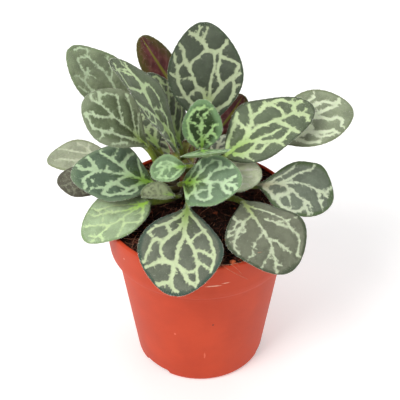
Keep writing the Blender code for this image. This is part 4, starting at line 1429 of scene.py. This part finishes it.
def under_colour(tree, skin, clouds, vein, along, across):
    """Colour of the underside: purple with olive edges, ribs in yellow green."""
    rib = math_node(tree, "SUBTRACT", 1.0, step_node(tree, vein, -0.3, 0.3))
    lower = mix_node(tree, step_node(tree, clouds, 0.35, 0.68), *PURPLE_COLOURS)
    edge = math_node(tree, "MULTIPLY_ADD", along, 0.55, across)
    lower = mix_node(tree, step_node(tree, edge, 0.62, 1.25), lower, (0.095, 0.075, 0.014))
    middle = math_node(tree, "MULTIPLY_ADD", along, 0.09, across)
    middle = step_node(tree, middle, 0.17, 0.07)
    lower = mix_node(tree, math_node(tree, "MULTIPLY", rib, 0.4), lower, (0.30, 0.12, 0.10))
    lower = mix_node(tree, middle, lower, (0.24, 0.23, 0.03))
    if skin in YOUNG_SKINS:
        lower = mix_node(tree, 0.8, lower, (0.16, 0.27, 0.10))
    return lower


def make_leaf_skin(name):
    """The material of a leaf, from the two attributes of its mesh."""
    skin = SKINS[name]
    material, tree, shader = new_material("leaf_skin_" + name, 0.58)
    place = object_place(tree)
    net = add_node(tree, "ShaderNodeAttribute", attribute_name="leaf_net").outputs["Vector"]
    vein, rim, under = add_node(tree, "ShaderNodeSeparateXYZ", {"Vector": net}).outputs
    spot = add_node(tree, "ShaderNodeAttribute", attribute_name="leaf_place").outputs["Vector"]
    along, across, _ = add_node(tree, "ShaderNodeSeparateXYZ", {"Vector": spot}).outputs
    across = math_node(tree, "ABSOLUTE", across)
    grain = noise_node(tree, place, 2600, 2, 0.6)
    clouds = noise_node(tree, place, 200, 3, 0.55)

    upper, pale = upper_colour(tree, skin, place, vein, rim, along, across, grain)
    lower = under_colour(tree, name, clouds, vein, along, across)
    colour = mix_node(tree, step_node(tree, under, 0.4, 0.6), upper, lower)
    stalk = mix_node(tree, step_node(tree, clouds, 0.3, 0.7), *STALK_COLOURS)
    # Painted shade: each stalk darkens towards its foot at the crown, further and darker on young leaves
    # in the heart.
    shade = step_node(tree, along, *((-0.1, -0.5) if name in YOUNG_SKINS else (-0.45, -0.9)))
    stalk = mix_node(tree, shade, stalk, darker(STALK_SHADE, 0.5) if name in YOUNG_SKINS else STALK_SHADE)
    colour = mix_node(tree, step_node(tree, along, 0.06, -0.08), colour, stalk)
    tree.links.new(colour, shader.inputs["Base Color"])

    rough = add_node(tree, "ShaderNodeMapRange", {"Value": grain, "To Min": 0.48, "To Max": 0.68})
    tree.links.new(rough.outputs["Result"], shader.inputs["Roughness"])
    add_bump(tree, shader, math_node(tree, "MULTIPLY_ADD", pale, -0.5, grain), 0.35, 0.0003)
    shader.inputs["Subsurface Weight"].default_value = 0.08
    shader.inputs["Subsurface Radius"].default_value = (0.001, 0.002, 0.0006)
    shader.inputs["Sheen Weight"].default_value = 0.12
    shader.inputs["Sheen Roughness"].default_value = 0.5
    shader.inputs["Specular IOR Level"].default_value = 0.3
    return material


skins = {name: make_leaf_skin(name) for name in SKINS}
print("skins:", ", ".join(skins))

# %% [markdown]
# ## Growing all the leaves
# Old leaves have a bold net on slate, outer ones a thin net on grey, and young ones a thin net
# on fresh green. Each leaf is paired here with its skin, the half width of its veins in
# millimetres where a rule draws them, and how often a spur stands out.

# %% Growing all the leaves
DRESS = {
    "leaf_back_tall": ("slate", 0.9, 0.5),
    "leaf_back_purple": ("olive", 0.3, 0.2),
    "leaf_back_hidden": ("olive", 0.3, 0.2),
    "leaf_left_far": ("fogged", 0.4, 0.5),
    "leaf_left_folded": ("folded", 0.6, 0.6),
    "leaf_left_shadowed": ("shaded", 0.6, 0.5),
    "leaf_left_round": ("moss", 0.4, 0.7),
    "leaf_left_pale": ("sandy", 0.5, 0.4),
    "leaf_left_broad": ("sea", 0.6, 0.7),
    "leaf_left_low": ("dusky", 0.3, 0.3),
    "leaf_front_left": ("light", 0.4, 0.6),
    "leaf_front_broad": ("broad", 0.9, 0.6),
    "leaf_front_right": ("grey", 0.4, 0.8),
    "leaf_right": ("teal", 0.5, 0.7),
    "leaf_right_broad": ("fern", 0.9, 0.6),
    "leaf_right_far": ("misted", 0.9, 0.5),
    "young_leaf_upright": ("young", 0.4, 0.6),
    "young_leaf_front": ("fresh", 0.3, 0.4),
    "leaf_centre": ("mint", 0.5, 0.8),
    "leaf_centre_pale": ("pale_painted_light", 0.4, 0.3),
    "young_leaf_left": ("fresh", 0.3, 0.5),
    "young_leaf_curled": ("curl", 0.3, 0.5),
    "leaf_rear_low_left": ("broad", 0.9, 0.6),
    "leaf_rear_low_right": ("teal", 0.6, 0.6),
    "leaf_rear_right": ("slate", 0.9, 0.6),
    "leaf_rear_left": ("fern", 0.7, 0.6),
}
grown = {}
for number, leaf in enumerate(LEAVES):
    skin, bold, spurs = DRESS[leaf.name]
    piece = grow_leaf(leaf, bold, spurs, 100 + number)
    smooth(piece, 60)
    node_slot = "young_leaf_green" if leaf.name.startswith("young") else "leaf_green"
    dress(piece, skins[skin], node_slot, leaf.name)
    grown[leaf.name] = piece
for number, bud in enumerate(BUDS):
    piece = grow_leaf(bud, 0.2, 0.3, 200 + number)
    smooth(piece, 60)
    dress(piece, skins["bud"], "young_leaf_green")
    grown["young_" + bud.name] = piece

# %% [markdown]
# ## The hairs
# A primulina is soft to touch, because white hairs stand on its leaves and fringe their margins.
# Blender's hair would be lost in an export, so each hair is a slim, bent spike of eight triangles.
# One spike is modelled from a cone: its top is extruded and merged to a point. Copies are then
# placed at points of the finished leaves, along their normals.

# %% One hair
def hair_master():
    """The points and triangles of one spike, one unit tall and one unit in radius."""
    deselect()
    bpy.ops.mesh.primitive_cone_add(vertices=3, radius1=1, radius2=0.6, depth=0.5,
                                    location=(0, 0, 0.25))
    spike = bpy.context.object
    bpy.ops.object.mode_set(mode="EDIT")
    bpy.ops.mesh.select_all(action="DESELECT")
    mesh = bmesh.from_edit_mesh(spike.data)
    for face in mesh.faces:
        face.select = face.normal.z > 0.9
    bmesh.update_edit_mesh(spike.data)
    bpy.ops.mesh.extrude_region_move(TRANSFORM_OT_translate={"value": (0, 0, 0.5)})
    bpy.ops.mesh.merge(type="CENTER")
    bpy.ops.mesh.select_all(action="SELECT")
    bpy.ops.mesh.quads_convert_to_tris()
    bpy.ops.object.mode_set(mode="OBJECT")
    corners = np.array([vertex.co[:] for vertex in spike.data.vertices])
    faces = np.array([face.vertices[:] for face in spike.data.polygons])
    bpy.data.objects.remove(spike, do_unlink=True)
    return corners, faces


hair_corners, hair_faces = hair_master()
print("one hair:", len(hair_faces), "triangles")

# %% [markdown]
# ## Where the hairs stand
# The margin is the row of points where the upper face meets the lower one, and hairs stand
# there at every point. On the faces they stand at points picked by a seeded draw. Each leans
# its own way by a little, and the ones on young leaves are longer.

# %% Where the hairs stand
FACE_HAIRS = 520
HAIR_RADIUS = 0.07
FRINGES = {"leaf_left_folded": 1.8, "leaf_centre": 1.5, "leaf_front_left": 1.2, "leaf_right": 1.1}


def hair_roots(piece, young, fringe, seed):
    """Roots, directions and lengths of one leaf's hairs, in millimetres."""
    draw = np.random.default_rng(seed)
    mesh = piece.data
    count = len(mesh.vertices)
    places, normals, spots = np.empty(count * 3), np.empty(count * 3), np.empty(count * 3)
    mesh.vertices.foreach_get("co", places)
    mesh.vertices.foreach_get("normal", normals)
    mesh.attributes["leaf_place"].data.foreach_get("vector", spots)
    places, normals, spots = (array.reshape(-1, 3) for array in (places, normals, spots))
    on_blade = spots[:, 0] > 0.03
    margin = np.flatnonzero((np.abs(spots[:, 1]) > 0.999) & on_blade)
    face = np.flatnonzero((np.abs(spots[:, 1]) < 0.99) & (spots[:, 0] > -0.6))
    face = draw.choice(face, FACE_HAIRS if not young else FACE_HAIRS // 2, replace=False)
    chosen = np.concatenate((margin, face))
    lengths = np.concatenate((draw.uniform(0.7, 1.6, len(margin)) * fringe,
                              draw.uniform(0.4, 0.85, len(face))))
    ways = normals[chosen] + draw.normal(0, 0.28, (len(chosen), 3))
    ways /= np.linalg.norm(ways, axis=1)[:, None]
    return places[chosen] / MM, ways, lengths * (1.35 if young else 1.0)


def plant_hairs(name, roots, ways, lengths):
    """Copies of the spike, one at each root, as one piece."""
    draw = np.random.default_rng(5)
    side = np.cross(ways, draw.normal(0, 1, ways.shape))
    side /= np.linalg.norm(side, axis=1)[:, None]
    other = np.cross(ways, side)
    x, y, z = (hair_corners[:, axis][None, :, None] for axis in range(3))
    curl = draw.uniform(0.0, 0.45, len(ways))[:, None, None]
    long = lengths[:, None, None]
    points = roots[:, None, :] + (x * side[:, None] + y * other[:, None]) * HAIR_RADIUS
    points = points + (z - 0.06) * long * ways[:, None] + curl * z ** 2 * long * side[:, None]
    steps = np.arange(len(ways))[:, None, None] * len(hair_corners)
    mesh = bpy.data.meshes.new(name)
    mesh.from_pydata((points.reshape(-1, 3) * MM).tolist(), [],
                     (hair_faces[None] + steps).reshape(-1, 3).tolist())
    piece = bpy.data.objects.new(name, mesh)
    bpy.context.collection.objects.link(piece)
    return piece


def make_hair_skin():
    material, tree, shader = new_material("leaf_hair", 0.45)
    shades = noise_node(tree, object_place(tree), 700, 2)
    colour = mix_node(tree, step_node(tree, shades, 0.35, 0.65), (0.66, 0.74, 0.56),
                      (0.92, 0.95, 0.86))
    tree.links.new(colour, shader.inputs["Base Color"])
    add_bump(tree, shader, shades, 0.2, 0.0001)
    shader.inputs["Subsurface Weight"].default_value = 0.15
    shader.inputs["Subsurface Radius"].default_value = (0.001, 0.001, 0.0006)
    return material


hair_skin = make_hair_skin()
for young, name, node_slot in ((False, "leaf_hairs", "leaf_green"),
                               (True, "young_leaf_hairs", "young_leaf_green")):
    sets = [hair_roots(piece, young, FRINGES.get(leaf_name, 1.0), 300 + number)
            for number, (leaf_name, piece) in enumerate(grown.items())
            if leaf_name.startswith("young") == young]
    dress(plant_hairs(name, *(np.concatenate(part) for part in zip(*sets))), hair_skin, node_slot)
